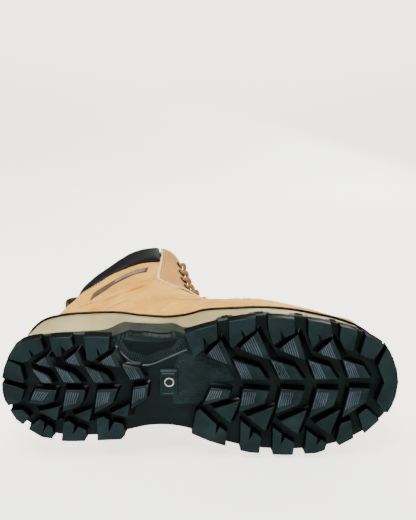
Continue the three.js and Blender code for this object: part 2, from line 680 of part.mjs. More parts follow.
function midsole() {
  const inner = (s) => wallInset(s) + OUTSOLE_WALL + GAP;
  return layered([
    { inset: inner, height: (s) => outsoleFloor(s) + GAP },
    { inset: inner, height: (s) => wallTop(s) + GAP },
    { inset: (s) => wallInset(s) + 0.2, height: (s) => wallTop(s) + GAP },
    { inset: (s) => lipInset(s) - 0.6, height: (s) => lerp(wallTop(s), lipTop(s), 0.7) },
    { inset: lipInset, height: lipTop },
  ]).subtract(grown);
}

const RAND = 2.4;
const rand = () =>
  layered([
    { inset: (s) => lipInset(s) + 0.1, height: (s) => lipTop(s) + GAP },
    { inset: (s) => lipInset(s) + 0.5, height: (s) => lipTop(s) + GAP + RAND },
  ]).subtract(grown);

const SHANK = { from: 62, to: 168, width: 15, thickness: 1.6 };
const shankFloor = (s) => footFloor(s) + 2.5;

function bar(from, to, width, bottom, top, steps) {
  const points = [];
  const triangles = [];
  for (let i = 0; i <= steps; i++) {
    const s = lerp(from, to, i / steps);
    const corners = [[-1, bottom(s)], [1, bottom(s)], [1, top(s)], [-1, top(s)]];
    points.push(...corners.map(([side, z]) => place(s, (side * width) / 2 - 1, z)));
  }
  for (let i = 0; i < steps; i++) {
    for (let k = 0; k < 4; k++) {
      const a = 4 * i + k;
      const b = 4 * i + ((k + 1) % 4);
      triangles.push([a, b, b + 4], [a, b + 4, a + 4]);
    }
  }
  const end = 4 * steps;
  triangles.push([0, 2, 1], [0, 3, 2], [end, end + 1, end + 2], [end, end + 2, end + 3]);
  return solidOf(geometryOf(points, triangles));
}

const shank = () =>
  bar(SHANK.from, SHANK.to, SHANK.width, shankFloor, (s) => shankFloor(s) + SHANK.thickness, 10);
const shankRecess = () =>
  bar(
    SHANK.from - 1, SHANK.to + 1, SHANK.width + 2 * GAP,
    (s) => shankFloor(s) - GAP, (s) => footFloor(s) + 20, 10,
  );
const filler = () =>
  slab(27, (s) => footFloor(s) + 2.2, (s) => footFloor(s) + UNDER_BOARD - GAP).subtract(shankRecess());
const insoleBoard = () =>
  slab(8, (s) => footFloor(s) + UNDER_BOARD, (s) => footFloor(s) + UNDER_BOARD + BOARD).intersect(inside);
const footbedThickness = (s) => lerp(FOOTBED_HEEL, FOOTBED_TOE, smooth(90, 200, s));
const footbedRoom = envelope(-LINING_DEPTH - LINING - 6 * GAP);
const footbed = () =>
  slab(
    8,
    (s) => footFloor(s) + UNDER_BOARD + BOARD + GAP,
    (s) => footFloor(s) + UNDER_BOARD + BOARD + GAP + footbedThickness(s),
  ).intersect(footbedRoom);

// ---------------------------------------------------------------- assembly
const SIDES = { lateral: 1, medial: -1 };
add("outsole", outsole(), blackRubber);
add("midsole", midsole(), sandFoam);
add("rand", rand(), blackRubber);
add("bottom_filler", filler(), fibreboard);
add("shank", shank(), steel);
add("insole_board", insoleBoard(), fibreboard);
add("footbed", footbed(), greyFoam);
add("toe_cap", toeCap(), steel);
add("heel_counter", heelCounter(), fibreboard);
add("vamp", vamp(), wheatNubuck);
add("vamp_lining", vampLining(), greyTextile);
add("backstay", backstay(), wheatNubuck);
add("collar_pad", collarPad(), blackPadding);
add("tongue", tongue(), blackPadding);
add("side_label", sideLabel(), brownWebbing);
add("pull_loop", pullLoop(), brownWebbing);

for (const [name, side] of Object.entries(SIDES)) {
  const punched = EYELET_SECTIONS.map((t) => punchHole(t, side * eyeletAngle(t)));
  add(`quarter_${name}`, quarter(side), wheatNubuck);
  add(`shaft_panel_${name}`, shaftPanel(side), wheatNubuck);
  add(`eyestay_${name}`, punched.reduce((body, hole) => body.subtract(hole), eyestay(side)), wheatNubuck);
  add(`lining_${name}`, quarterLining(side), greyTextile);
  EYELET_SECTIONS.forEach((t, row) => {
    add(`eyelet_${name}_${row + 1}`, eyelet(t, side * eyeletAngle(t)), blackMetal);
  });
}
add("lace", laceStrand(1).add(laceStrand(-1)), tanLace);

export default boot;
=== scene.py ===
import math

import bmesh
import bpy
import numpy as np
from mathutils import Matrix, Vector
from mathutils.geometry import tessellate_polygon


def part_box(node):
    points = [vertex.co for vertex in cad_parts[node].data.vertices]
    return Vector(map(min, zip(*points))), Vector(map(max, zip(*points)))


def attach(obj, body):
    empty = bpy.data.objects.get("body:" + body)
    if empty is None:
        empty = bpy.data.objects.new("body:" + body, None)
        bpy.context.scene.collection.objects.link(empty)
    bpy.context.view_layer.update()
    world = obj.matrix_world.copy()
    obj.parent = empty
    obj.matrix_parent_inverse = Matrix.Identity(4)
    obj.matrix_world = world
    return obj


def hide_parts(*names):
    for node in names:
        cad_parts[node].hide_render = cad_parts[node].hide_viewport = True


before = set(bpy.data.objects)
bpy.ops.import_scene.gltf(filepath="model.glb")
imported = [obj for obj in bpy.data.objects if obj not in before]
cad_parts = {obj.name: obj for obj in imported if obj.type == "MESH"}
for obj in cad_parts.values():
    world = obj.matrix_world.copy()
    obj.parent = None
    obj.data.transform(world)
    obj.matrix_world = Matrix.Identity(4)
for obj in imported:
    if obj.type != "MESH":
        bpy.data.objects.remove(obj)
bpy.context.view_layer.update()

# Everything below is worked out in millimetres and turned to metres when a mesh is made. Sole stations are
# (s, u): s runs forward from the back of the heel, u outwards to the lateral side. The upper's face is given
# by a section t, 0 at the toe and about 21 at the collar, and an angle round it in degrees, 0 on the instep
# and positive on the lateral side.
MM = 0.001
heel_corner, toe_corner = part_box("outsole")
SOLE_LENGTH = (toe_corner.y - heel_corner.y) / MM
MIDDLE = 1.75
LUG_DEPTH = 5.5
TOE_SPRING = 9
SPRING_START = 235
LEATHER = 2
LINING = 1.4
LINING_DEPTH = 4.3
LASTED = 150
EYELETS_PER_SIDE = 7
LOOP_WIDTH = 20
noise_dice = np.random.default_rng(11)


# ---------------------------------------------------------------- curves and numbers
def lerp(a, b, t):
    return a + (b - a) * t


def smooth(start, end, x):
    t = np.clip((np.asarray(x, float) - start) / (end - start), 0, 1)
    return t * t * (3 - 2 * t)


def through(knots):
    """A function that runs smoothly through the (x, value) knots."""
    xs, ys = np.array(knots, float).T
    count = len(xs)
    before = np.maximum(np.arange(count) - 1, 0)
    after = np.minimum(np.arange(count) + 1, count - 1)
    slopes = (ys[after] - ys[before]) / (xs[after] - xs[before])

    def value(x):
        x = np.clip(np.asarray(x, float), xs[0], xs[-1])
        i = np.clip(np.searchsorted(xs, x, side="right") - 1, 0, count - 2)
        width = xs[i + 1] - xs[i]
        t = (x - xs[i]) / width
        rise = (ys[i + 1] - ys[i]) / width
        bend = (1 - t) * (slopes[i] - rise) - t * (slopes[i + 1] - rise)
        return lerp(ys[i], ys[i + 1], t) + width * t * (1 - t) * bend

    return value


def unit(vectors):
    return vectors / np.linalg.norm(vectors, axis=-1, keepdims=True)


def headings(path):
    """The direction of a path at each of its points."""
    return unit(np.gradient(path, axis=0))


def run_lengths(line):
    """How far along a line each of its points lies."""
    return np.concatenate([[0], np.cumsum(np.linalg.norm(np.diff(line, axis=0), axis=1))])


def ring_round(centre, first, second, radius, count):
    """Points on a circle round centre, whose perpendicular axes are first and second."""
    turns = (np.arange(count) * math.tau / count)[:, None]
    return centre + radius * (np.cos(turns) * first + np.sin(turns) * second)


def place(s, u, z):
    """Stations to the row frame, as an array of points in millimetres."""
    s, u, z = np.broadcast_arrays(np.asarray(s, float), np.asarray(u, float), np.asarray(z, float))
    return np.stack([-u - MIDDLE, SOLE_LENGTH / 2 - s, z], axis=-1)


def in_scene(name, data):
    made = bpy.data.objects.new(name, data)
    bpy.context.scene.collection.objects.link(made)
    return made


# ---------------------------------------------------------------- camera, lights and stage
CAMERA_STATION = (157.3, 217.7, -342.3)
CAMERA_TILT = math.radians(12)
SENSOR_MM = 36
LENS_MM = 500 * SENSOR_MM / 520
LENS_SHIFT = -60 / 520


def add_camera():
    data = bpy.data.cameras.new("camera")
    data.sensor_width, data.lens, data.shift_y, data.clip_start = SENSOR_MM, LENS_MM, LENS_SHIFT, 0.01
    camera = in_scene("camera", data)
    right, up = Vector((0, -1, 0)), Vector((-math.cos(CAMERA_TILT), 0, math.sin(CAMERA_TILT)))
    turn = Matrix((right, up, right.cross(up))).transposed().to_4x4()
    camera.matrix_world = Matrix.Translation(Vector(place(*CAMERA_STATION)) * MM) @ turn
    bpy.context.scene.camera = camera


def add_softbox(name, where, target, size, power):
    data = bpy.data.lights.new(name, "AREA")
    data.shape, data.size, data.energy = "DISK", size, power
    light = in_scene(name, data)
    light.location = where
    light.rotation_euler = (Vector(target) - Vector(where)).to_track_quat("-Z", "Y").to_euler()


# ---------------------------------------------------------------- materials
def linear(hex_colour):
    """An sRGB hex colour as linear RGBA."""
    parts = [int(hex_colour[i : i + 2], 16) / 255 for i in (1, 3, 5)]
    return (*[p / 12.92 if p <= 0.04045 else ((p + 0.055) / 1.055) ** 2.4 for p in parts], 1)


class Look:
    """A node material being made. Sizes and depths are in millimetres."""

    def __init__(self, name):
        self.material = bpy.data.materials.new(name)
        self.material.use_nodes = True
        self.tree = self.material.node_tree
        self.shader = self.tree.nodes["Principled BSDF"]
        point = self.node("TexCoord").outputs["Object"]
        self.where = self.node("VectorMath", {"operation": "SCALE"}, {0: point, "Scale": 1 / MM}).outputs[0]

    def node(self, kind, settings=None, inputs=None):
        """Adds a node; inputs maps a socket's name or number to a value or to another node's output."""
        made = self.tree.nodes.new("ShaderNode" + kind)
        for key, value in (settings or {}).items():
            setattr(made, key, value)
        for key, value in (inputs or {}).items():
            if isinstance(value, bpy.types.NodeSocket):
                self.tree.links.new(value, made.inputs[key])
            else:
                made.inputs[key].default_value = value
        return made

    def noise(self, size, detail=2.0, roughness=0.5):
        inputs = {"Vector": self.where, "Scale": 1 / size, "Detail": detail, "Roughness": roughness}
        return self.node("TexNoise", {}, inputs).outputs["Fac"]

    def cells(self, size, settings=None, **inputs):
        made = self.node("TexVoronoi", settings, {"Vector": self.where, "Scale": 1 / size, **inputs})
        return made.outputs["Distance"]

    def bands(self, direction, **inputs):
        settings = {"wave_type": "BANDS", "bands_direction": direction}
        return self.node("TexWave", settings, {"Vector": self.where, **inputs}).outputs["Fac"]

    def mask(self, factor, start, end, top):
        inputs = {"Value": factor, "From Min": start, "From Max": end, "To Max": top}
        return self.node("MapRange", {}, inputs).outputs[0]

    def ramp(self, factor, *stops):
        made = self.node("ValToRGB", {}, {"Fac": factor})
        for element, (position, colour) in zip(made.color_ramp.elements, stops):
            element.position = position
            element.color = linear(colour)
        return made.outputs["Color"]

    def blend(self, factor, first, second):
        return self.node("Mix", {"data_type": "RGBA"}, {0: factor, 6: first, 7: second}).outputs[2]

    def bump(self, height, depth, strength, under=None):
        inputs = {"Height": height, "Distance": depth * MM, "Strength": strength}
        if under is not None:
            inputs["Normal"] = under
        return self.node("Bump", {}, inputs).outputs["Normal"]

    def finish(self, colour, normal, levels):
        self.tree.links.new(colour, self.shader.inputs["Base Color"])
        self.tree.links.new(normal, self.shader.inputs["Normal"])
        for socket, value in levels.items():
            self.shader.inputs[socket].default_value = value
        return self.material


def moulded_rubber(name, dark, light, roughness, pebbles=0.0):
    # Nitrile rubber straight from the mould: dull, with a dusty bloom that lightens it in patches.
    look = Look(name)
    colour = look.ramp(look.noise(26, 4, 0.6), (0.35, dark), (0.7, light))
    normal = look.bump(look.noise(0.8, 3), 0.05, 0.5)
    if pebbles:
        normal = look.bump(look.cells(pebbles), 0.35, 0.7, normal)
    return look.finish(colour, normal, {"Roughness": roughness, "IOR": 1.52, "Specular IOR Level": 0.22})


def moulded_foam(name, dark, light):
    # Polyurethane foam with a closed skin: satin, with the fine slanted lines that the mould was cut with.
    look = Look(name)
    colour = look.ramp(look.noise(38, 3), (0.3, dark), (0.7, light))
    normal = look.bump(look.bands("DIAGONAL", Scale=0.16, Distortion=0.6, Detail=1), 0.22, 0.5)
    return look.finish(colour, look.bump(look.noise(0.7), 0.06, 0.5, normal), {"Roughness": 0.58})


def nubuck(name, dark, light, worn):
    # Buffed full-grain leather: a short nap that catches light at its edge, cloudy where it was brushed.
    look = Look(name)
    clouds = look.ramp(look.noise(34, 5, 0.62), (0.3, dark), (0.68, light))
    colour = look.blend(look.mask(look.noise(6.5, 4, 0.65), 0.56, 0.78, 0.45), clouds, linear(worn))
    normal = look.bump(look.noise(0.55, 4, 0.7), 0.16, 0.75)
    normal = look.bump(look.cells(1.1), 0.08, 0.5, normal)
    normal = look.bump(look.noise(11, 3), 0.8, 0.35, normal)
    return look.finish(colour, normal, {
        "Roughness": 0.86, "Specular IOR Level": 0.25, "Sheen Weight": 0.15, "Sheen Roughness": 0.45,
        "Sheen Tint": linear("#ffe2b0"),
    })


def garment_leather(name, dark, light):
    # Thin finished leather over foam: a pebbled grain with a soft shine on its crown.
    look = Look(name)
    colour = look.ramp(look.noise(20, 3), (0.3, dark), (0.75, light))
    normal = look.bump(look.cells(1.5, {"feature": "SMOOTH_F1"}, Smoothness=0.6), 0.25, 0.55)
    normal = look.bump(look.noise(0.5, 3), 0.08, 0.5, normal)
    return look.finish(colour, normal, {"Roughness": 0.5, "Specular IOR Level": 0.3})


def woven(name, dark, light, thread_mm, roughness=0.85):
    # Woven yarn: over-and-under threads at their own spacing, lighter where a thread crosses on top.
    look = Look(name)
    scale = 1 / (6.28 * thread_mm) * 2
    over, under = [look.bands(way, Scale=scale, Distortion=0.3) for way in ("Z", "DIAGONAL")]
    weave = look.node("Math", {"operation": "MULTIPLY"}, {0: over, 1: under}).outputs[0]
    clouds = look.ramp(look.noise(9, 3), (0.3, dark), (0.7, light))
    colour = look.blend(0.35, look.ramp(weave, (0.1, dark), (0.8, light)), clouds)
    levels = {"Roughness": roughness, "Specular IOR Level": 0.3}
    return look.finish(colour, look.bump(weave, 0.3, 0.8), levels)


def rolled_metal(name, shade, roughness, worn="#8f8a80"):
    # Pressed metal with a thin finish that has rubbed through in small spots.
    look = Look(name)
    colour = look.blend(look.mask(look.noise(2.2, 4, 0.7), 0.6, 0.75, 0.6), linear(shade), linear(worn))
    normal = look.bump(look.noise(0.9, 3), 0.03, 0.6)
    return look.finish(colour, normal, {"Metallic": 0.9, "Roughness": roughness})


def pressed_board(name, dark, light):
    # Cellulose fibreboard or cork filler: fibrous flecks, no shine.
    look = Look(name)
    colour = look.ramp(look.noise(2.5, 6, 0.75), (0.35, dark), (0.65, light))
    return look.finish(colour, look.bump(look.noise(1.2, 4), 0.2, 0.7), {"Roughness": 0.92})


RUBBER = moulded_rubber("outsole_nitrile_rubber", "#0b1b1c", "#172b2d", 0.36)
# Painted shade: the tread floor between the lugs is darker than the lug faces, standing in for the shade in
# the grooves.
GROOVE_FLOOR_SHADE_RUBBER = moulded_rubber("tread_floor_painted_shade_rubber", "#061211", "#0d1f1d", 0.4)
# Painted shade: a near-black rubber for the lug walls, standing in for the shade that falls in the grooves
# beside them.
LUG_WALL_SHADE_RUBBER = moulded_rubber("lug_wall_painted_shade_rubber", "#010303", "#050a0b", 0.34)
# Painted highlight: the ribs, wedge ribs and crease ridge are lighter and bluer than the lug faces, standing
# in for light on their crests.
RIB_HIGHLIGHT_RUBBER = moulded_rubber("rib_painted_highlight_rubber", "#2c363c", "#4a5961", 0.35)
PEBBLED_RUBBER = moulded_rubber("waist_pebbled_rubber", "#131d20", "#26343a", 0.34, pebbles=1.6)
# Painted highlight: the side wall band above the lugs is lighter than the rest of the rubber, standing in for
# the light its bevel catches.
SIDE_WALL_HIGHLIGHT_RUBBER = moulded_rubber("side_wall_painted_highlight_rubber", "#1e231c", "#30352a", 0.5)
BLACK_RUBBER = moulded_rubber("rand_black_rubber", "#010202", "#040505", 0.5)
PALE_RUBBER = moulded_rubber("size_mark_pale_rubber", "#b9b7ac", "#d8d6cb", 0.6)
FOAM = moulded_foam("midsole_polyurethane_foam", "#877848", "#ad9f6b")
NUBUCK = nubuck("wheat_nubuck", "#bd7f18", "#e0a338", "#f2c976")
DARK_NUBUCK = nubuck("eyestay_nubuck", "#96651f", "#bb8232", "#d8a858")
RAW_EDGE = nubuck("cut_leather_edge", "#d3b57c", "#ecd6a4", "#fbebc6")
PADDING = garment_leather("collar_padded_leather", "#010303", "#030607")
LINING_CLOTH = woven("lining_knit", "#3c4144", "#6a7074", 0.9)
WEBBING = woven("loop_webbing", "#33271f", "#6b5848", 0.8)
LABEL_WEAVE = woven("label_weave", "#3f3024", "#6b5746", 0.6)
LABEL_PATCH = woven("label_patch_weave", "#6f6355", "#93877a", 0.6)
LACE_YARN = woven("lace_braid", "#7b5327", "#c2925a", 0.9)
THREAD = woven("seam_thread", "#d6ab68", "#fbdda0", 0.35, 0.7)
BRASS = rolled_metal("eyelet_blackened_brass", "#3a2f29", 0.42)
CAP_STEEL = rolled_metal("toe_cap_coated_steel", "#4a4d50", 0.5)
SHANK_STEEL = rolled_metal("shank_spring_steel", "#8b9094", 0.35)
BOARD = pressed_board("insole_fibreboard", "#a58f6a", "#c9b58d")
CORK = pressed_board("filler_cork", "#7d5f3c", "#b48f62")
FOOTBED_CLOTH = woven("footbed_cloth", "#33383b", "#565d61", 1.1)


# ---------------------------------------------------------------- meshes
def new_piece(name, points, faces, material, slot, body="boot", sharp=38, replaces=()):
    """A mesh piece from millimetre points, riding on a body."""
    mesh = bpy.data.meshes.new(name)
    mesh.from_pydata((np.asarray(points, float) * MM).tolist(), [], faces)
    mesh.validate()
    mesh.materials.append(material)
    mesh.shade_smooth()
    mesh.set_sharp_from_angle(angle=math.radians(sharp))
    piece = in_scene(name, mesh)
    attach(piece, body)
    if replaces:
        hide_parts(*replaces)
    return piece


class Solid:
    """Points and faces gathered from several closed shapes before they become one piece."""

    def __init__(self):
        self.points = []
        self.faces = []
        self.paint = []

    def add(self, points, faces, paint=0):
        start = len(self.points)
        self.points.extend(np.asarray(points, float).tolist())
        self.faces.extend([[start + i for i in face] for face in faces])
        self.paint.extend([paint] * len(faces))

    def piece(self, name, materials, slot, **options):
        made = new_piece(name, self.points, self.faces, materials[0], slot, **options)
        for extra in materials[1:]:
            made.data.materials.append(extra)
        if len(materials) > 1:
            made.data.polygons.foreach_set("material_index", self.paint)
        return made


def ring_faces(rings, around, ends="capped"):
    """Faces between rings of equal length, whose first and last ones are capped, open, or joined together."""
    faces = []
    for r in range(rings - 1):
        for i in range(around):
            a, b = r * around + i, r * around + (i + 1) % around
            faces.append([a, b, b + around, a + around])
    last = (rings - 1) * around
    if ends == "capped":
        faces += [list(range(around))[::-1], list(range(last, last + around))]
    elif ends == "joined":
        faces += [[last + i, last + (i + 1) % around, (i + 1) % around, i] for i in range(around)]
    return faces


def closed_curve(corners, per_span=14):
    """A closed centripetal curve through 2-D corners, as a list of points."""
    corners = np.array(corners, float)
    count = len(corners)
    found = []
    for i in range(count):
        p = [corners[(i + k - 1) % count] for k in range(4)]
        gaps = [max(np.linalg.norm(p[k + 1] - p[k]) ** 0.5, 1e-6) for k in range(3)]
        knots = np.cumsum([0, *gaps])
        for t in np.linspace(knots[1], knots[2], per_span, endpoint=False):
            a = [lerp(p[k], p[k + 1], (t - knots[k]) / gaps[k]) for k in range(3)]
            b = [lerp(a[k], a[k + 1], (t - knots[k]) / (knots[k + 2] - knots[k])) for k in range(2)]
            found.append(lerp(b[0], b[1], (t - knots[1]) / gaps[1]))
    return np.array(found)


def open_curve(corners, step):
    """A smooth line through corners, with points about step apart."""
    corners = np.array(corners, float)
    lengths = run_lengths(corners)
    along = np.linspace(0, lengths[-1], max(2, int(lengths[-1] / step)))
    return np.stack([through(np.stack([lengths, axis], axis=1))(along) for axis in corners.T], axis=1)


# ---------------------------------------------------------------- sole outline and levels
SOLE_EDGE = [
    (0, -1), (2, 12), (8, 25), (19, 35), (36, 39.5), (60, 40.5), (84, 39.5), (102, 36), (121, 35.5),
    (138, 40), (155, 48), (177, 53.5), (200, 56), (222, 55), (245, 51), (266, 45), (283, 36), (296, 24),
    (304, 9), (308, -7), (305, -20), (298, -32), (287, -41.5), (271, -50), (250, -56), (225, -59),
    (200, -58), (180, -54.5), (160, -48), (144, -41), (127, -37.5), (110, -38), (95, -41.5), (78, -45.5),
    (60, -46.5), (40, -45.5), (25, -41), (13, -32), (5, -21), (1, -11),
]
edge_line = closed_curve(SOLE_EDGE)
tip = int(np.argmax(edge_line[:, 0]))
lateral_line = edge_line[: tip + 1]
medial_line = np.concatenate([edge_line[tip:], edge_line[:1]])[::-1]


def edge_at(s, side):
    line = lateral_line if side > 0 else medial_line
    return np.interp(s, line[:, 0], line[:, 1])


def spring(s):
    s = np.asarray(s, float)
    share = (s - SPRING_START) / (SOLE_LENGTH - SPRING_START)
    return np.where(s > SPRING_START, TOE_SPRING * share**2, 0)


wall_curve = through([
    (0, 10), (45, 10.5), (70, 13), (80, 17), (91, 32), (127, 33), (139, 18), (151, 10.5), (165, 9), (270, 9.5),
    (308, 17),
])
floor_curve = through([(0, 30), (85, 30), (130, 26), (185, 15.5), (220, 14), (308, 14)])
lip_curve = through([(0, 41), (50, 44), (85, 46.5), (112, 47), (150, 36), (185, 28), (240, 26.5), (308, 27)])
lip_inset = through([(0, 2.5), (80, 1.5), (130, 0.5), (180, 3.8), (250, 4.6), (290, 3.6), (308, 2.8)])
LATERAL_TABS = [(163, 177), (187, 205), (218, 234), (246, 259), (270, 279)]
MEDIAL_TABS = [(171, 184), (197, 210), (223, 235), (249, 261), (272, 282)]
TAB_HEIGHT = 5.5


def foot_floor(s):
    return floor_curve(s) + spring(s)


def lip_top(s):
    return lip_curve(s) + spring(s)


def tabs_at(s, side, shrink=0.0):
    """1 on a tab of the side wall, falling to 0 beside it."""
    s = np.asarray(s, float)
    found = np.zeros_like(s)
    for start, end in LATERAL_TABS if side > 0 else MEDIAL_TABS:
        rise = smooth(start - 1 + shrink, start + 2 + shrink, s)
        found = np.maximum(found, rise * (1 - smooth(end - 2 - shrink, end + 1 - shrink, s)))
    return found


def wall_top(s, side):
    return wall_curve(s) + spring(s) + TAB_HEIGHT * tabs_at(s, side)


# The outside of the waist is scooped out between a crease and the edge.
SCOOP_CREASE = ((84, 90, 97, 110, 128, 145), (37, 27, 19, 14.5, 21.5, 29.5))


def scoop(s, u):
    along = smooth(84, 96, s) * (1 - smooth(129, 141, s))
    crease = np.interp(s, *SCOOP_CREASE)
    across = np.clip((u - crease) / 17, 0, 1.4)
    return 12.5 * along * across**1.2


STATIONS = 420
station_row = SOLE_LENGTH / 2 * (1 - np.cos(np.pi * np.arange(STATIONS + 1) / STATIONS))


def sole_ring(inset, height):
    """A ring round the sole; inset(s) is in mm and height(s, side) is taken at the station."""
    rows = []
    for side in (1, -1):
        s = station_row if side > 0 else station_row[-2:0:-1]
        lateral, medial = edge_at(s, 1), edge_at(s, -1)
        middle, half = (lateral + medial) / 2, (lateral - medial) / 2
        depth = inset(s)
        station = lerp(depth, SOLE_LENGTH - depth, s / SOLE_LENGTH)
        width = np.where(half > 0.01, np.maximum(0.5, half - depth), 0)
        rows.append(place(station, middle + side * width, height(station, side)))
    return np.concatenate(rows)


def sole_body(levels, name, materials, slot, paints=None, columns=24, face_height=None, **options):
    """A closed body made of rings round the sole, from the ground up, with a grid of faces over each end."""
    rings = [sole_ring(inset, height) for inset, height in levels]
    around = len(rings[0])
    body = Solid()
    body.points = np.concatenate(rings).tolist()
    body.faces = ring_faces(len(rings), around, "open")
    body.paint = [0 if paints is None else paints[i // around] for i in range(len(body.faces))]
    for which, ring in ((0, rings[0]), (len(rings) - 1, rings[-1])):
        base = which * around
        grid = [[base] * (columns + 1)]
        for i in range(1, STATIONS):
            row = [base + i]
            for j in range(1, columns):
                point = lerp(ring[i], ring[around - i], j / columns)
                if which == 0 and face_height is not None:
                    point = face_height(point)
                row.append(len(body.points))
                body.points.append(point.tolist())
            grid.append([*row, base + around - i])
        grid.append([base + STATIONS] * (columns + 1))
        for upper, lower in zip(grid, grid[1:]):
            for j in range(columns):
                face = list(dict.fromkeys([upper[j], upper[j + 1], lower[j + 1], lower[j]]))
                body.faces.append(face if which == 0 else face[::-1])
                body.paint.append(0)
    return body.piece(name, materials, slot, **options)


def ring_at(share, extra, height):
    """A level of the sole, set in by a share of the lip's inset and some more."""
    return (lambda s: share * lip_inset(s) + extra, height)


def above_wall(rise):
    return lambda s, side: wall_top(s, side) + rise


def above_lip(rise):
    return lambda s, side: lip_top(s) + rise


def outlines(table):
    """Outlines written one to a line, each corner as s,u."""
    lines = [line.split() for line in table.splitlines()]
    return [[[float(value) for value in corner.split(",")] for corner in line] for line in lines]


# ---------------------------------------------------------------- tread
HEEL_EDGE_LUGS = outlines("""\
6,23 8,26 12,32 18,36.5 25,38.5 32,39.5 35,30 27,25.5 23.5,30.5 25,24 20.5,20.5 18,19.5
39,39.8 47,40.3 55,40.6 56.5,33 50.4,29 47.3,33.5 48,25.8 43.5,24.3 40.4,29.7
64.6,40.8 75,40.8 84,40.5 82.7,29.7 76.5,26 74.2,31.5 74.6,24.5 70,20.5 66,22
1,7 3,15 6,22 15.8,17 18,5 17,2.5
0.7,3 17.5,-3 13.5,-13.5 4,-16.5 1.5,-12 0.3,-5
5,-20.5 15,-20.5 20,-26.5 14,-33 9,-28.5
19.5,-35 27,-28.5 31,-31 29,-40 33,-33 37,-36 36,-45.5 28,-44 18,-37
45.5,-31 50,-30 54,-33.5 52.3,-41 56.5,-35 63,-38 61.5,-47.5 52,-47.8 43,-47.5
71.5,-28 76.5,-26 81,-29 80,-39 84.5,-31 91.5,-32.5 93,-42 90,-46 71,-47""")
FOREFOOT_EDGE_LUGS = outlines("""\
140,43.5 152,47.5 164,50.8 164.5,38.5 158,34.5 153.8,39.8 154.8,31.5 146.5,24
172.5,53 183,55 192.5,56 192.5,46 185.5,41 182,46.7 183.3,39.5 175.5,31.5 173.5,34
201.5,56 212,55.6 221.5,54.4 222,43.5 214.5,40 211.2,45.5 212,38 206,34.5 202,46
231.5,53.5 241,52 249,50 249.5,41 243,38 239.6,43 240.5,36.5 235,32.5 232,42
256,48.5 263,46.5 269,44 267,28 259.5,30.5 255.5,39
276,40.5 284,36 291,31 283.5,20 272,25
293.5,29 299,20.5 303.5,9 305.5,-2 304.5,-13 302,-21 298.5,-27.5 294.5,-26 288,-16 293.5,-1 287,14.5
151,-19.5 164,-33 163.2,-41 166.5,-35 172,-40 171,-52 158,-47.5 144.5,-41 148,-22
182.5,-29.5 190.5,-36.5 189.2,-47 193,-39.5 199,-44.5 197.5,-58.5 190,-57.8 182.5,-56
207.5,-35.5 215,-41.5 214.2,-50 217.5,-44.5 225,-49.5 224,-60 216,-60 208,-59.5
234,-38 243,-45.5 241.7,-51 245.5,-46.5 250.5,-50 249,-56 242,-58.5 233,-59
260,-33.5 268.5,-30.5 271.5,-46.5 260,-52.5 257.5,-49
274,-26 281,-21.5 292,-33 280,-43.5""")
# The blocks of the middle rows. The first two corners end the heelward side, where the ribs start.
LATERAL_BLOCKS = outlines("""\
24,15 32,2.5 40,2.5 36.5,9
41.5,16.5 48,2.8 61.5,2.8 56,10
64.5,16 71,2.8 84.5,3 80.5,10
92.5,17.5 98.5,5 110,7 106,15
175.5,22.5 182.5,5.5 202.5,5.5 196,15.5
203.5,23 211.5,5.5 230,5.5 223,16
232,22.5 238.5,5.5 256,5.5 249.5,16
258.5,22 264.5,5.5 282,5 276,15""")
MEDIAL_BLOCKS = outlines("""\
25.5,-2.5 20,-14 31,-16 39,-13 42,-4
49,-3 45,-22 58,-17 61.5,-13 64,-4
73,-3 69.5,-23.5 84,-14.5 88.5,-3
100.5,-1 98,-19.5 110.5,-10.5 112,0.5
159.5,-1.5 153,-16.5 173.5,-9.5 175,-3.5
184,-2.5 181,-22 200.5,-15 204,-4
213,-2.5 209,-24 227.5,-15.5 231,-4
240.5,-2.5 235,-27 254,-17 257.5,-4
266,-2.5 261,-28 279.5,-16 282,-4.5""")
LATERAL_WEDGES = outlines("""\
27,18.5 37,26 41,15.5
49,20.5 59,29 64,16.5
75,19.5 86.5,28 91.5,15.5
156,25.5 166.8,38 176,17
181,31 194,45 204,22
210.5,30.5 224,42.5 230.5,21.5
239.5,27.5 250.5,38.5 258,21""")
MEDIAL_WEDGES = outlines("""\
27,-21.5 43,-17.5 40,-29.5
54,-25 68,-19 65,-31
82.5,-23.5 97,-15 95,-26.5
161.5,-19.5 181,-13 174.5,-31.5
187.5,-26 208,-17.5 201.5,-38.5
213,-30.5 233,-20.5 227,-41.5
240,-32 259,-20.5 252.5,-42.5""")
PLATEAU = [(133, -16), (158, -16), (163, -8), (160, 1), (174, 4), (168, 13), (150, 20), (137, 22), (133, 10)]
BADGE = [(120.5, 11), (120.5, -10), (134, -10), (134, 11)]
BADGE_RING = (127.6, 1.6)
FLAT_AXES = np.array([[1, 0], [0, 1]])


def counter_clockwise(outline):
    flat = np.array(outline, float)
    x, y = flat[:, 0], flat[:, 1]
    area = np.sum(x * np.roll(y, -1) - np.roll(x, -1) * y)
    return flat if area > 0 else flat[::-1]


def inside_outline(point, outline):
    flat = counter_clockwise(outline)
    crossings = 0
    for a, b in zip(flat, np.roll(flat, -1, axis=0)):
        if (a[1] > point[1]) != (b[1] > point[1]):
            crossings += point[0] < lerp(a[0], b[0], (point[1] - a[1]) / (b[1] - a[1]))
    return crossings % 2 == 1


def grown_outline(flat, by):
    """A counter-clockwise outline moved outwards, its corners held back where they are sharp."""
    ahead = unit(np.roll(flat, -1, axis=0) - flat)
    normal = np.stack([ahead[:, 1], -ahead[:, 0]], axis=1)
    middle = normal + np.roll(normal, 1, axis=0)
    middle /= np.maximum(np.linalg.norm(middle, axis=1, keepdims=True), 1e-6)
    cosine = np.maximum(np.sum(middle * normal, axis=1, keepdims=True), 0.42)
    return flat + middle * by / cosine


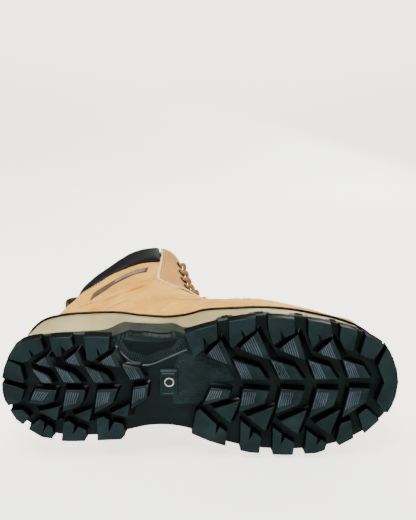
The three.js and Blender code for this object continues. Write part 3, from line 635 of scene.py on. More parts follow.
def rounded_outline(outline, radius):
    """Each corner replaced by a short arc of three points."""
    flat = counter_clockwise(outline)
    found = []
    for i, corner in enumerate(flat):
        back, front = flat[i - 1] - corner, flat[(i + 1) % len(flat)] - corner
        cut_back = min(radius, 0.35 * np.linalg.norm(back))
        cut_front = min(radius, 0.35 * np.linalg.norm(front))
        start = corner + back / np.linalg.norm(back) * cut_back
        end = corner + front / np.linalg.norm(front) * cut_front
        found += [start, lerp(lerp(start, end, 0.5), corner, 0.5), end]
    return np.array(found)


# Each level of a lug is how far it has grown from its outline and how far it lies above the ground.
LUG_PROFILE = [(-0.75, 0.0), (-0.3, 0.12), (-0.05, 0.5), (0.35, 2.6), (0.85, 4.8), (2.0, LUG_DEPTH + 0.3),
               (2.2, 7.0)]
EDGE_PROFILE = [(-0.5, 0.0), (-0.2, 0.12), (0, 0.5), (0.1, 2.6), (0.25, 4.8), (0.6, LUG_DEPTH + 0.3),
                (0.7, 7.0)]


def add_lug(body, outline, profile=LUG_PROFILE, lean=0.0, radius=0.7, shaded_walls_from=99):
    """A lug that leans by lean mm at its toeward side. From a given level on, its walls take the second
    material, a near-black rubber that is painted shade for the dark lug walls.
    """
    flat = counter_clockwise(outline)
    centre = flat.mean(axis=0)
    rings = []
    for grow, rise in profile:
        ring = rounded_outline(grown_outline(flat, grow), radius)
        toeward = np.clip((ring[:, 0] - centre[0]) / 8, 0, 1)
        ring[:, 0] += toeward * lean * min(1, rise / LUG_DEPTH)
        rings.append(place(ring[:, 0], ring[:, 1], spring(ring[:, 0]) + rise))
    around = len(rings[0])
    start = len(body.points)
    walls = ring_faces(len(rings), around, "open")
    body.add(np.concatenate(rings), walls)
    # From this level on, the walls take the near-black second material, which is painted shade.
    body.paint[-len(walls):] = [int(k // around >= shaded_walls_from) for k in range(len(walls))]
    for which in (0, len(rings) - 1):
        level = [Vector((*point[:2], 0)) for point in rings[which]]
        caps = [[start + which * around + k for k in cap] for cap in tessellate_polygon([level])]
        body.faces += caps
        body.paint += [0] * len(caps)


def add_bar(body, start, end, width, height, base=0.05):
    """A low ridge with sloping sides between two (s, u); base is its foot's level, or a function."""
    start, end = np.array(start, float), np.array(end, float)
    ahead = unit(end - start)
    aside = np.array([ahead[1], -ahead[0]])
    points = []
    for at, tuck in ((start, 1), (end, -1)):
        foot = float(base(*at)) if callable(base) else base + float(spring(at[0]))
        for offset, rise in ((-0.5, 0), (-0.12, 1), (0.12, 1), (0.5, 0)):
            flat = at + aside * offset * width + ahead * tuck * rise * 0.3 * width
            points.append(place(*flat, foot - rise * height))
    faces = [[0, 1, 5, 4], [1, 2, 6, 5], [2, 3, 7, 6], [3, 0, 4, 7], [0, 3, 2, 1], [4, 5, 6, 7]]
    body.add(np.array(points), faces)


def add_ribs(body, heelward, toeward, count, start, pitch=1.75):
    """Parallel ridges that run from a block's heelward side towards its toeward side."""
    (a, b), (c, d) = np.array(heelward, float), np.array(toeward, float)
    length = np.linalg.norm(lerp(c, d, 0.5) - lerp(a, b, 0.5))
    for k in range(count):
        share = start + k * pitch / length
        first, last = lerp(a, c, share), lerp(b, d, share)
        add_bar(body, lerp(first, last, 0.07), lerp(first, last, 0.93), 0.95, 0.5)


def face_level(s, u):
    """The height of the outsole's face between its lugs."""
    return LUG_DEPTH + spring(s) + scoop(s, u)


def on_face(point):
    return np.array([point[0], point[1], float(face_level(SOLE_LENGTH / 2 - point[1], -point[0] - MIDDLE))])


def add_cup():
    def edge_level(rise):
        return lambda s, side: np.minimum(face_level(s, edge_at(s, side)) + rise, wall_top(s, side) - 2.2)

    levels = [
        ring_at(0, 1.6, edge_level(0)), ring_at(0, 0.5, edge_level(0.35)), ring_at(0, 0, edge_level(1.2)),
        ring_at(1 / 12, 0.1, edge_level(1.5)), ring_at(1 / 4, -0.2, above_wall(-1.3)),
        ring_at(1 / 4, 0.5, above_wall(-0.9)), ring_at(1 / 3, 0.5, above_wall(-0.3)),
        ring_at(1 / 3, 0.9, wall_top), ring_at(1 / 3, 3, wall_top),
        ring_at(1 / 3, 3.2, lambda s, side: LUG_DEPTH + 3.5 + spring(s)),
    ]
    # Paint 0, which covers the groove floor between the lugs, is the darker painted-shade rubber.
    # Paint 1, the band of side wall above the lugs, is the lighter painted-highlight rubber.
    sole_body(levels, "outsole_cup", [GROOVE_FLOOR_SHADE_RUBBER, SIDE_WALL_HIGHLIGHT_RUBBER, BLACK_RUBBER], "outsole_rubber",
              paints=[0, 0, 2, 1, 2, 2, 2, 0, 0], columns=34, face_height=on_face, replaces=("outsole",))


def add_tread():
    lugs = Solid()
    for table, options in (
        (HEEL_EDGE_LUGS + FOREFOOT_EDGE_LUGS, {"profile": EDGE_PROFILE}),
        (LATERAL_BLOCKS + MEDIAL_BLOCKS, {}),
        (LATERAL_WEDGES + MEDIAL_WEDGES, {"lean": 5.5}),
    ):
        for outline in table:
            add_lug(lugs, outline, shaded_walls_from=2, **options)
    face_outwards(lugs.piece("outsole_lugs", [RUBBER, LUG_WALL_SHADE_RUBBER], "outsole_rubber", sharp=50))
    ribs = Solid()
    for a, b, *rest in LATERAL_BLOCKS:
        add_ribs(ribs, (a, b), (rest[-1], rest[0]), 5, 0.08)
    for a, b, *rest in MEDIAL_BLOCKS:
        sides = [[lerp(np.array(first), np.array(last), share) for share in (0.06, 0.78)]
                 for first, last in ((a, b), (rest[-1], rest[0]))]
        add_ribs(ribs, *sides, 6, 0.06)
    for outline in LATERAL_WEDGES:
        corner, far, near = np.array(outline, float)
        for k in range(6):
            share = 0.25 + 0.1 * k
            add_bar(ribs, lerp(corner, far, share), lerp(corner, near, share), 0.8, 0.3)
    # The ribs take the lighter painted-highlight rubber.
    ribs.piece("lug_ribs", [RIB_HIGHLIGHT_RUBBER], "outsole_rubber", sharp=20)


def add_plateau():
    waist = Solid()
    add_lug(waist, PLATEAU, [(-4, 4.6), (-2, 4.8), (0.5, 5.2), (2.5, 5.48), (3.0, 6.2)], radius=2)
    waist.piece("waist_plateau", [RUBBER], "outsole_rubber")
    pebbles = Solid()
    for s in np.arange(131, 172, 1.75):
        for u in np.arange(-15, 20, 1.75):
            centre = np.array([s, u]) + noise_dice.uniform(-0.5, 0.5, 2)
            if inside_outline(centre, PLATEAU):
                around = ring_round(centre, *FLAT_AXES, noise_dice.uniform(0.45, 0.75), 6)
                rings = [place(*around.T, 5.0), place(*lerp(centre, around, 0.45).T, 4.3)]
                pebbles.add(np.concatenate(rings), ring_faces(2, 6))
    pebbles.piece("waist_pebbles", [PEBBLED_RUBBER], "outsole_rubber", sharp=60)


def add_badge():
    mark = Solid()
    add_lug(mark, BADGE, [(-0.9, 3.0), (-0.3, 3.1), (0, 3.6), (0.5, 5.6), (0.8, 6.2)], radius=1.2)
    ring_mark = Solid()
    frame_line = grown_outline(counter_clockwise(BADGE), -2.2)
    ring = ring_round(np.array(BADGE_RING), *FLAT_AXES, 3.4, 20)
    for body, corners, width, height in ((mark, frame_line, 0.9, 0.6), (ring_mark, ring, 1.0, 0.7)):
        for start, end in zip(corners, np.roll(corners, -1, axis=0)):
            add_bar(body, start, end, width, height, 3.05)
    ring_mark.piece("waist_badge_ring", [PALE_RUBBER], "outsole_rubber", sharp=20)
    mark.piece("waist_badge", [RUBBER], "outsole_rubber", sharp=20)


def add_scoop_marks():
    """The ridge along the scoop's crease and the fine slanted hatch inside it."""
    crease = Solid()
    line = open_curve([(87, 31), (90, 27), (97, 19), (110, 14.5), (126, 20.6), (141, 27.6)], 2.2)
    for start, end in zip(line, line[1:]):
        add_bar(crease, start, end + (end - start) * 0.2, 1.5, 0.7, lambda s, u: face_level(s, u) + 0.1)
    hatch = Solid()
    above_face = (lambda s, u: face_level(s, u) + 0.06)
    for s in np.arange(86, 144, 1.7):
        low = float(np.interp(s, *SCOOP_CREASE)) + 1
        for u in np.arange(low, float(edge_at(s, 1)) - 3.2, 1.9):
            along = s + 0.4 * (u - low)
            if along < 140:
                add_bar(hatch, (along, u), (along + 0.7, u + 1.7), 0.75, 0.28, above_face)
    hatch.piece("waist_scoop_hatch", [PEBBLED_RUBBER], "outsole_rubber", sharp=20)
    # The crease ridge takes the lighter painted-highlight rubber.
    crease.piece("waist_scoop_ridge", [RIB_HIGHLIGHT_RUBBER], "outsole_rubber", sharp=20)


def add_tab_recesses():
    """A small sunken window in each tab of the side wall, framed by a raised lip."""
    frames = Solid()
    for side, tabs in ((1, LATERAL_TABS), (-1, MEDIAL_TABS)):
        for start, end in tabs:
            length = end - start
            s0, s1 = start + 0.3 * length, end - 0.3 * length
            corners = []
            for s, rise in ((s0, 1.2), (s1, 1.2), (s1, 4.3), (s0, 4.3)):
                u = float(edge_at(s, side)) - side * (float(lip_inset(s)) / 4 - 0.1)
                corners.append(place(s, u, float(wall_curve(s) + spring(s)) + rise))
            out = place(0, side, 0) - place(0, 0, 0)
            corners = np.array(corners)
            middle = corners.mean(axis=0)
            levels = ((0, -1.1), (0, 0.1), (0.12, 0.75), (0.3, 0.7), (0.36, -0.1))
            rings = [lerp(corners, middle, shrink) + out * rise for shrink, rise in levels]
            frames.add(np.concatenate(rings), ring_faces(5, 4))
    frames.piece("side_wall_windows", [BLACK_RUBBER], "outsole_rubber", sharp=30)


def add_midsole():
    def wall(share, bulge):
        inset = (lambda s: lerp(lip_inset(s) / 3, lip_inset(s) - 0.3, share) - bulge + 0.25)
        return (inset, lambda s, side: lerp(wall_top(s, side), lip_top(s), share))

    levels = [
        ring_at(1 / 3, 3.6, lambda s, side: LUG_DEPTH + 4 + spring(s)), ring_at(1 / 3, 3.6, above_wall(0.4)),
        ring_at(1 / 3, 0.9, above_wall(0.4)), ring_at(1 / 3, 0.3, above_wall(0.9)),
        wall(0.2, 0.1), wall(0.45, 0.2), wall(0.7, 0.2),
        ring_at(1, 0, above_lip(-2.6)), ring_at(1, 0.45, above_lip(-2.2)), ring_at(1, -0.15, above_lip(-1.8)),
        ring_at(1, -0.1, above_lip(-0.5)), ring_at(1, 0.5, above_lip(0)), ring_at(1, 4.5, above_lip(0)),
        ring_at(1, 8, lambda s, side: foot_floor(s) - 1),
    ]
    sole_body(levels, "midsole_foam_unit", [FOAM], "midsole_foam", replaces=("midsole",))


def add_rand():
    profile = ((5, 0.1), (-1.0, 0.1), (-1.4, 0.6), (-1.3, 1.8), (-0.2, 3.0), (3.2, 3.4), (5, 2.8))
    rings = [sole_ring(*ring_at(1, inset, above_lip(rise))) for inset, rise in profile]
    faces = ring_faces(len(rings), len(rings[0]), "joined")
    new_piece("rand_strip", np.concatenate(rings), faces, BLACK_RUBBER, "outsole_rubber", replaces=("rand",))


# ---------------------------------------------------------------- the upper's outer face
UPPER_INSET = through([(0, 7), (80, 6), (130, 5), (180, 8.5), (250, 9.5), (290, 8.5), (308, 7.5)])


def foot_section(s, top, square_top):
    inset = float(UPPER_INSET(s))
    start = min(max((s - inset) / (SOLE_LENGTH - 2 * inset), 0), 1) * SOLE_LENGTH
    lateral, medial = float(edge_at(start, 1)) - inset, -float(edge_at(start, -1)) - inset
    return (s, foot_floor(s) + 1, s, top, lateral, medial, square_top, 4.5)


# Back point (s, z), front point (s, z), lateral and medial half-widths, squareness in front and at the back.
SECTIONS = [
    (301, 38, 301, 38, -7, 7, 2, 2),
    (299.8, 30, 299.8, 48, 3, 16.5, 2.1, 2.3),
    (296.5, foot_floor(296) + 2.5, 296.5, 56.5, 11, 23.5, 2.3, 3),
    (289.5, foot_floor(289) + 1, 289.5, 64.5, 21, 31.5, 2.4, 3.6),
    (278.5, foot_floor(278) + 1, 278.5, 69.5, 30.5, 39, 2.5, 4.2),
    foot_section(261, 72, 2.4),
    foot_section(242, 73, 2.3),
    foot_section(222, 77, 2.2),
    foot_section(203, 86, 2.1),
    (182, foot_floor(182) + 1, 187, 98, 43.5, 47, 2, 4.5),
    (152, foot_floor(152) + 1, 172, 110.5, 38.5, 41, 2, 4.5),
    (120, foot_floor(120) + 1, 160, 122.5, 34.5, 37, 2, 4.2),
    (85, foot_floor(85) + 1, 151.5, 135, 34.5, 38, 2.1, 3.8),
    (50, foot_floor(50) + 1, 146, 146.5, 35, 39, 2.2, 3.4),
    (21, 33, 142.5, 156.5, 33.5, 38, 2.2, 2.4),
    (9, 47, 140, 166, 34, 38, 2.2, 1.9),
    (7.5, 70, 137.5, 177, 35, 38, 2.2, 1.8),
    (10, 93, 135, 188, 35.5, 38.5, 2.3, 1.75),
    (14.5, 115, 132.5, 199, 36.5, 39.5, 2.4, 1.7),
    (19, 135, 130, 210, 38.5, 41, 2.5, 1.65),
    (22.5, 153, 127, 221, 41.5, 43, 2.6, 1.65),
    (24.5, 171, 124, 232, 45, 45, 2.7, 1.65),
    (25, 189, 121, 243, 47.5, 47, 2.7, 1.65),
]
section_values = [through([(t, float(section[k])) for t, section in enumerate(SECTIONS)]) for k in range(8)]


def face_point(t, angle):
    t, angle = np.broadcast_arrays(np.asarray(t, float), np.radians(np.asarray(angle, float)))
    back_s, back_z, front_s, front_z, left, right, square_front, square_back = [f(t) for f in section_values]
    sine, cosine = np.sin(angle), np.cos(angle)
    square = np.where(cosine > 0, square_front, square_back)
    across = np.sign(sine) * np.abs(sine) ** (2 / square)
    along = np.sign(cosine) * np.abs(cosine) ** (2 / square)
    u = (left - right) / 2 + across * (left + right) / 2
    share = (1 + along) / 2
    return place(lerp(back_s, front_s, share), u, lerp(back_z, front_z, share))


def face_normal(t, angle):
    t, angle = np.broadcast_arrays(np.asarray(t, float), np.asarray(angle, float))
    step = np.clip(t, 1e-3, 0.02)
    along = face_point(t + step, angle) - face_point(t - step, angle)
    around = face_point(t, angle + 1) - face_point(t, angle - 1)
    normal = np.cross(along, around)
    normal /= np.maximum(np.linalg.norm(normal, axis=-1, keepdims=True), 1e-9)
    return np.where(t[..., None] < 1e-6, np.array([0, -1, 0.0]), normal)


def upper_point(t, angle, offset):
    offset = np.broadcast_to(np.asarray(offset, float), np.broadcast(t, angle).shape)
    return face_point(t, angle) + face_normal(t, angle) * offset[..., None]


# ---------------------------------------------------------------- seams of the upper
throat_edge = through([(0, 15), (9.8, 12), (13, 15), (16, 19), (22, 22)])
facing_edge = through([(9.6, 25), (11, 32), (13, 42), (14.8, 55), (15.6, 61), (22, 61)])
vamp_rear = through([(0, 9.6), (45, 9.2), (90, 8.8), (120, 9.2), (150, 9.8)])
ankle_seam = through([(30, 14), (61, 15.5), (75, 15.1), (95, 14.7), (110, 14.7), (130, 15.3), (180, 16)])
pad_lower = through(
    [(61, 18.7), (87, 18.35), (106, 17.95), (125, 17.7), (150, 18.6), (170, 19.9), (180, 20.1)]
)
collar_top = through([
    (0, 20.9), (61, 21), (75, 21), (90, 20.8), (105, 20.4), (120, 20.1), (140, 19.9), (160, 20.6), (180, 21.2),
])
label_top = through([(74, 17.75), (85, 17.5), (95, 17), (106, 16.4), (118, 15.8)])
LABEL_HEIGHT = 0.85
EYELET_SECTIONS = [10.7, 11.9, 13.2, 14.7, 16.2, 17.7, 19.2]


def eyelet_angle(t):
    return throat_edge(t) + 10


def lower_edge(t):
    return lerp(LASTED, 179.75, smooth(13.4, 14.3, t))


def soft_waves(points, size_mm, depth_mm, seed=0):
    """A gentle unevenness, the same for any piece that passes through the same place."""
    dice = np.random.default_rng(100 + seed)
    total = np.zeros(points.shape[:-1])
    for _ in range(7):
        direction = dice.normal(size=3)
        direction /= np.linalg.norm(direction)
        phase = dice.uniform(0, math.tau)
        wave = size_mm * dice.uniform(0.6, 1.6)
        total += np.sin(points @ direction * math.tau / wave + phase)
    return depth_mm * total / 2.6


def sheet_grid(length, step, border=(0.3, 0.8, 1.6)):
    """Shares from 0 to 1 about step millimetres apart, with close ones at both ends for a rounded edge."""
    inner = np.linspace(border[-1] / length, 1 - border[-1] / length, max(3, int(length / step)))
    start = [b / length for b in border[:-1]]
    return np.array([0, *start, *inner, *[1 - b for b in start[::-1]], 1])


def upper_sheet(name, at, size, inner, outer, material, slot, step=2.6, unevenness=0.35, round_edge=0.9,
                seed=0, **options):
    """A sheet over the upper with rounded edges. at(p, q) gives its sections and angles, size is in mm."""
    ps, qs = sheet_grid(size[0], step), sheet_grid(size[1], step)
    p, q = np.meshgrid(ps, qs, indexing="ij")
    t, angle = at(p, q)
    border = np.minimum.reduce([p * size[0], (1 - p) * size[0], q * size[1], (1 - q) * size[1]])
    drop = round_edge * (1 - np.clip(border / 1.6, 0, 1)) ** 2.2
    outside = outer(p, q) if callable(outer) else outer
    within = inner(p, q) if callable(inner) else inner
    top = upper_point(t, angle, outside - drop)
    if unevenness:
        top += face_normal(t, angle) * soft_waves(face_point(t, angle), 26, unevenness, seed)[..., None]
    under = upper_point(t, angle, within)
    rows, columns = p.shape
    points = np.concatenate([top.reshape(-1, 3), under.reshape(-1, 3)])
    layer = rows * columns
    faces = []
    for i in range(rows - 1):
        for j in range(columns - 1):
            a = i * columns + j
            b = a + columns
            faces.append([a, b, b + 1, a + 1])
            faces.append([layer + a, layer + a + 1, layer + b + 1, layer + b])
    index = np.arange(layer).reshape(rows, columns)
    rim = [*index[0, :-1], *index[:-1, -1], *index[-1, :0:-1], *index[:0:-1, 0]]
    rim = [int(i) for i in rim]
    faces += [[a, b, b + layer, a + layer] for a, b in zip(rim, rim[1:] + rim[:1])]
    made = new_piece(name, points, faces, material, slot, **options)
    face_outwards(made)
    return made


def face_outwards(piece):
    """Turns every face to look out of its closed shape and drops faces that have shrunk to a line."""
    shape = bmesh.new()
    shape.from_mesh(piece.data)
    bmesh.ops.remove_doubles(shape, verts=shape.verts, dist=1e-6)
    bmesh.ops.recalc_face_normals(shape, faces=shape.faces)
    shape.to_mesh(piece.data)
    shape.free()


SIDES = (("lateral", 1), ("medial", -1))


def quarter_at(p, q):
    angle = lerp(30, 165, q)
    t = np.zeros_like(angle)
    for _ in range(6):
        t = lerp(vamp_rear(angle) - 0.03, ankle_seam(angle), p)
        angle = lerp(facing_edge(t) - 3, lower_edge(t), q)
    return t, angle


def eyestay_at(p, q):
    t = lerp(float(vamp_rear(20)) + 0.1, float(collar_top(0)), p)
    return t, lerp(throat_edge(t), facing_edge(t), q)


def mirrored(at, side):
    def turned(p, q):
        t, angle = at(p, q)
        return t, side * angle
    return turned


def toe_sheet(rear):
    """Addresses a sheet that wraps the toe back to rear(angle)."""
    def at(p, q):
        angle = lerp(-LASTED, LASTED, q)
        return rear(np.abs(angle)) * p**1.35, angle
    return at


def shaft_at(p, q):
    angle = lerp(60, 179.75, q)
    return lerp(ankle_seam(angle) - 0.3, pad_lower(angle) + 0.1, p), angle


def lining_at(p, q):
    t = lerp(9.1, 20.9, p)
    return t, lerp(eyelet_angle(t) + 8, lower_edge(t), q)


def add_leather():
    upper_sheet("vamp_leather", toe_sheet(vamp_rear), (210, 200), -LEATHER, 0.0, NUBUCK, "nubuck",
                unevenness=0.3, replaces=("vamp",))
    for name, side in SIDES:
        for piece, node_name, at, size, outer, look, options in (
            ("quarter", "quarter", quarter_at, (120, 130), 0.0, NUBUCK, {"unevenness": 0.5, "seed": 1}),
            ("shaft", "shaft_panel", shaft_at, (50, 130), 0.55, NUBUCK, {"unevenness": 0.45, "seed": 2}),
            ("eyestay", "eyestay", eyestay_at, (150, 30), 1.1, DARK_NUBUCK,
             {"unevenness": 0.2, "seed": 3, "step": 2.0}),
        ):
            upper_sheet(f"{piece}_leather_{name}", mirrored(at, side), size, -LEATHER, outer, look, "nubuck",
                        replaces=(f"{node_name}_{name}",), **options)
    upper_sheet("backstay_leather", lambda p, q: (lerp(15.1, 18.45, p), lerp(168 - 4 * p, 192 + 4 * p, q)),
                (70, 24), 0.4, 2.0, NUBUCK, "nubuck", unevenness=0.2, seed=1, replaces=("backstay",))


def add_inside():
    """The stiffeners and linings between the leather and the foot."""
    hard = {"unevenness": 0, "round_edge": 0.2}
    cloth = {"unevenness": 0, "round_edge": 0.4, "step": 4}
    lining = (-LINING_DEPTH - LINING, -LINING_DEPTH, LINING_CLOTH, "lining")
    upper_sheet("heel_counter_board", lambda p, q: (lerp(15.2, 17.4, p), lerp(105, 255, q)), (50, 120),
                -LEATHER - 1.9, -LEATHER - 0.9, BOARD, "board", replaces=("heel_counter",), **hard)
    upper_sheet("toe_cap_shell", toe_sheet(lambda angle: 6.4), (110, 180), -LEATHER - 1.9, -LEATHER - 0.4,
                CAP_STEEL, "cap_steel", replaces=("toe_cap",), **hard)
    upper_sheet("vamp_lining_cloth", toe_sheet(lambda angle: 8.6), (180, 180), *lining,
                replaces=("vamp_lining",), **cloth)
    for name, side in SIDES:
        upper_sheet(f"lining_cloth_{name}", mirrored(lining_at, side), (140, 120), *lining,
                    replaces=(f"lining_{name}",), **cloth)


# ---------------------------------------------------------------- stitching
STITCH = 2.3
STITCH_GAP = 0.9
THREAD_RADIUS = 0.42
# Each ring of a stitch: its share of the length, of the thread's radius, and how many radii it is sunk.
STITCH_PROFILE = ((0, 0.25, 0.5), (0.15, 0.8, 0.15), (0.5, 1, 0), (0.85, 0.8, 0.15), (1, 0.25, 0.5))


def add_stitches(body, t, angle, lift):
    """Stitches along a path of sections and angles, lying on the face at the given lift."""
    line, normals = upper_point(t, angle, lift), face_normal(t, angle)
    lengths = run_lengths(line)
    for start in np.arange(0.6, lengths[-1] - STITCH, STITCH + STITCH_GAP):
        ends = [np.array([np.interp(start + d, lengths, axis) for axis in line.T]) for d in (0, STITCH)]
        normal = np.array([np.interp(start, lengths, axis) for axis in normals.T])
        reach = ends[1] - ends[0]
        aside = np.cross(unit(reach), normal)
        rings = []
        for share, radius, sink in STITCH_PROFILE:
            centre = ends[0] + reach * share - normal * sink * THREAD_RADIUS
            rings.append(ring_round(centre, aside, normal, THREAD_RADIUS * radius, 6))
        body.add(np.concatenate(rings), ring_faces(5, 6))


def add_seams():
    thread = Solid()
    side_row = through([(60, 10.4), (82, 11.4), (84, 12.25), (87, 12.85), (90.5, 13.3), (110, 13.4)])
    rows = [
        (ankle_seam, 0.1, 64, 166, 160, 0.75), (ankle_seam, 0.38, 64, 166, 160, 0.75),
        (vamp_rear, -0.14, 26, LASTED - 4, 160, 0.15), (vamp_rear, -0.34, 26, LASTED - 4, 160, 0.15),
        (pad_lower, -0.12, 62, 168, 160, 0.75), (side_row, 0, 62, 108, 120, 0.15),
    ]
    for name, side in SIDES:
        for q in (0.07, 0.86, 0.93):
            add_stitches(thread, *mirrored(eyestay_at, side)(np.linspace(0.02, 0.98, 160), q), 1.25)
        for seam, above, first, last, count, lift in rows:
            angle = np.linspace(first, last, count)
            add_stitches(thread, seam(angle) + above, side * angle, lift)
        rise = np.linspace(15.3, 18.3, 120)
        add_stitches(thread, rise, side * (180 - lerp(9.5, 13.5, (rise - 15.1) / 3.35)), 2.1)
    thread.piece("seam_stitching", [THREAD], "nubuck", sharp=60)


def add_scalloped_edge():
    """The pale cut edge behind each eyestay, waved where the leather was punched."""
    strip = Solid()
    for name, side in SIDES:
        t = np.linspace(float(vamp_rear(20)) + 0.2, float(collar_top(0)) - 0.1, 260)
        middle = facing_edge(t) + 0.4
        wave = 0.5 * np.sin(run_lengths(upper_point(t, side * middle, 0.9)) * math.tau / 5.5)
        rings = []
        for across, lift in ((-0.9, 0.6), (-0.7, 1.5), (0, 1.7), (0.7, 1.4), (0.9, 0.2), (0, -0.2)):
            degrees = (across + (wave if across > 0.5 else 0)) / 0.72
            rings.append(upper_point(t, side * (middle + degrees), lift))
        strip.add(np.stack(rings, axis=1).reshape(-1, 3), ring_faces(len(t), 6))
    face_outwards(strip.piece("eyestay_cut_edge", [RAW_EDGE], "nubuck", sharp=70))


# ---------------------------------------------------------------- padded pieces
def swell(piece, keep, pressure=4.0, voxel=0.0045):
    """Fills a padded piece by cloth pressure, held within keep metres of where it started."""
    remesh = piece.modifiers.new("even_mesh", "REMESH")
    remesh.mode = "VOXEL"
    remesh.voxel_size = voxel
    apply_modifiers(piece)
    start = np.array([v.co for v in piece.data.vertices], float)
    settings = piece.modifiers.new("pressure", "CLOTH").settings
    settings.use_pressure = True
    settings.uniform_pressure_force = pressure
    settings.effector_weights.gravity = 0
    settings.quality = 4
    for frame_number in range(1, 21):
        bpy.context.scene.frame_set(frame_number)
    apply_modifiers(piece)
    move = np.array([v.co for v in piece.data.vertices], float) - start
    reach = np.linalg.norm(move, axis=1, keepdims=True)
    end = start + move * np.minimum(1, keep / np.maximum(reach, 1e-9))
    piece.data.vertices.foreach_set("co", end.astype(np.float32).ravel())
    piece.data.update()
    bpy.context.scene.frame_set(1)
    piece.modifiers.new("finer", "SUBSURF").levels = 1
    apply_modifiers(piece)
    piece.data.shade_smooth()


def apply_modifiers(piece):
    seen = bpy.context.evaluated_depsgraph_get()
    seen.update()
    mesh = bpy.data.meshes.new_from_object(piece.evaluated_get(seen))
    piece.modifiers.clear()
    piece.data = mesh


def rolled(p, low, high):
    """A soft crown between two seams, with a shallow dent a third of the way up."""
    crown = np.sin(np.pi * np.clip(p, 0, 1)) ** 0.6
    dent = 0.9 * np.exp(-((p - 0.36) / 0.05) ** 2)
    return low + high * crown - dent


def collar_at(p, q):
    angle = lerp(62.2, 297.8, q)
    behind = np.where(angle > 180, 360 - angle, angle)
    return lerp(pad_lower(behind) - 0.05, collar_top(behind), p), angle


def tongue_at(p, q):
    half = lerp(30, 42, smooth(0, 0.5, p))
    return lerp(8.4, 21.4, p), lerp(-half, half, q)


def add_padding():
    padding = {"material": PADDING, "slot": "padding", "round_edge": 1.2}
    collar = upper_sheet("collar_padding", collar_at, (34, 210), -LINING_DEPTH + 0.4,
                         lambda p, q: rolled(p, 0.6, 3.4), unevenness=0.35, seed=5, step=2.4,
                         replaces=("collar_pad",), **padding)
    tongue = upper_sheet("tongue_padding", tongue_at, (170, 60),
                         lambda p, q: -7.6 - lerp(1.6, 5, smooth(0, 0.3, p)), -7.3, unevenness=0.3, seed=6,
                         step=3, body="tongue", replaces=("tongue",), **padding)
    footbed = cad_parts["footbed"].copy()
    footbed.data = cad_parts["footbed"].data.copy()
    for key in list(footbed.keys()):
        del footbed[key]
    footbed.name = "footbed_cushion"
    bpy.context.scene.collection.objects.link(footbed)
    footbed.parent = None
    footbed.data.materials.clear()
    footbed.data.materials.append(FOOTBED_CLOTH)
    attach(footbed, "footbed")
    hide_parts("footbed")
    swell(collar, 0.0012)
    swell(tongue, 0.0012)
    swell(footbed, 0.0006, voxel=0.0035)


# ---------------------------------------------------------------- eyelets, lace, label and pull loop
def add_eyelets():
    profile = [(3.0, -3.2), (3.5, -3.2), (3.5, 1.2), (4.75, 1.2), (4.9, 1.45), (4.5, 1.95), (3.9, 2.15),
               (3.3, 2.0), (3.0, 1.6)]
    around = 24
    for name, side in SIDES:
        for row, t in enumerate(EYELET_SECTIONS):
            angle = side * float(eyelet_angle(t))
            centre, out = upper_point(t, angle, 0.3), face_normal(t, angle)
            across = unit(np.cross(out, [0, 0, 1.0]))
            upright = np.cross(out, across)
            rings = [
                ring_round(centre + rise * out, across, upright, radius, around) for radius, rise in profile
            ]
            faces = ring_faces(len(profile), around, "joined")
            face_outwards(new_piece(f"eyelet_ring_{name}_{row + 1}", np.concatenate(rings), faces, BRASS,
                                    "eyelet_metal", replaces=(f"eyelet_{name}_{row + 1}",)))


def lace_path(first_side):
    stops = [upper_point(EYELET_SECTIONS[0], 0, -5)]
    side = first_side
    for row, t in enumerate(EYELET_SECTIONS):
        following = EYELET_SECTIONS[row + 1] if row + 1 < EYELETS_PER_SIDE else t + 1.5
        hole, throat = float(eyelet_angle(t)), float(throat_edge(t))
        stops += [
            upper_point(t, side * (throat - 4), -5), upper_point(t, side * hole, -4),
            upper_point(t, side * hole, 1.5),
            upper_point(lerp(t, following, 0.06), side * (hole - 4), 5.5),
            upper_point(lerp(t, following, 0.2), side * (throat - 3.5), 3.5),
            upper_point((t + following) / 2, 0, -1.45),
        ]
        side = -side
    last = EYELET_SECTIONS[-1] + 1.5
    stops.append(upper_point(last, side * float(throat_edge(last) - 2), -5))
    return stops


def tube(path, radius, around):
    """Rings round a path of points."""
    path = np.array(path, float)
    ahead = headings(path)
    side = np.cross(ahead[0], [0, 0, 1.0])
    rings = []
    for point, direction in zip(path, ahead):
        side = unit(side - direction * np.dot(side, direction))
        rings.append(ring_round(point, side, np.cross(side, direction), radius, around))
    return np.concatenate(rings), ring_faces(len(path), around)


def add_lace():
    step = 1.1
    strands = Solid()
    for side in (1, -1):
        path = open_curve(lace_path(side), step)
        strands.add(*tube(path, 2.1, 10))
        ahead = headings(path)
        side_way = unit(np.cross(ahead, [0.3, 0.2, 0.93]))
        up_way = np.cross(side_way, ahead)
        for turns in (1, -1):
            for start in (0, math.tau / 3, 2 * math.tau / 3):
                turn = (turns * np.arange(len(path)) * step / 7.5 * math.tau + start)[:, None]
                yarn = path + 1.9 * (np.cos(turn) * side_way + np.sin(turn) * up_way)
                strands.add(*tube(yarn, 0.42, 5))
    face_outwards(strands.piece("lace_braid", [LACE_YARN], "lace_cord", sharp=75, replaces=("lace",)))


def label_at(p, q):
    angle = lerp(74, 114, q)
    return label_top(angle) - LABEL_HEIGHT * (1 - p), angle


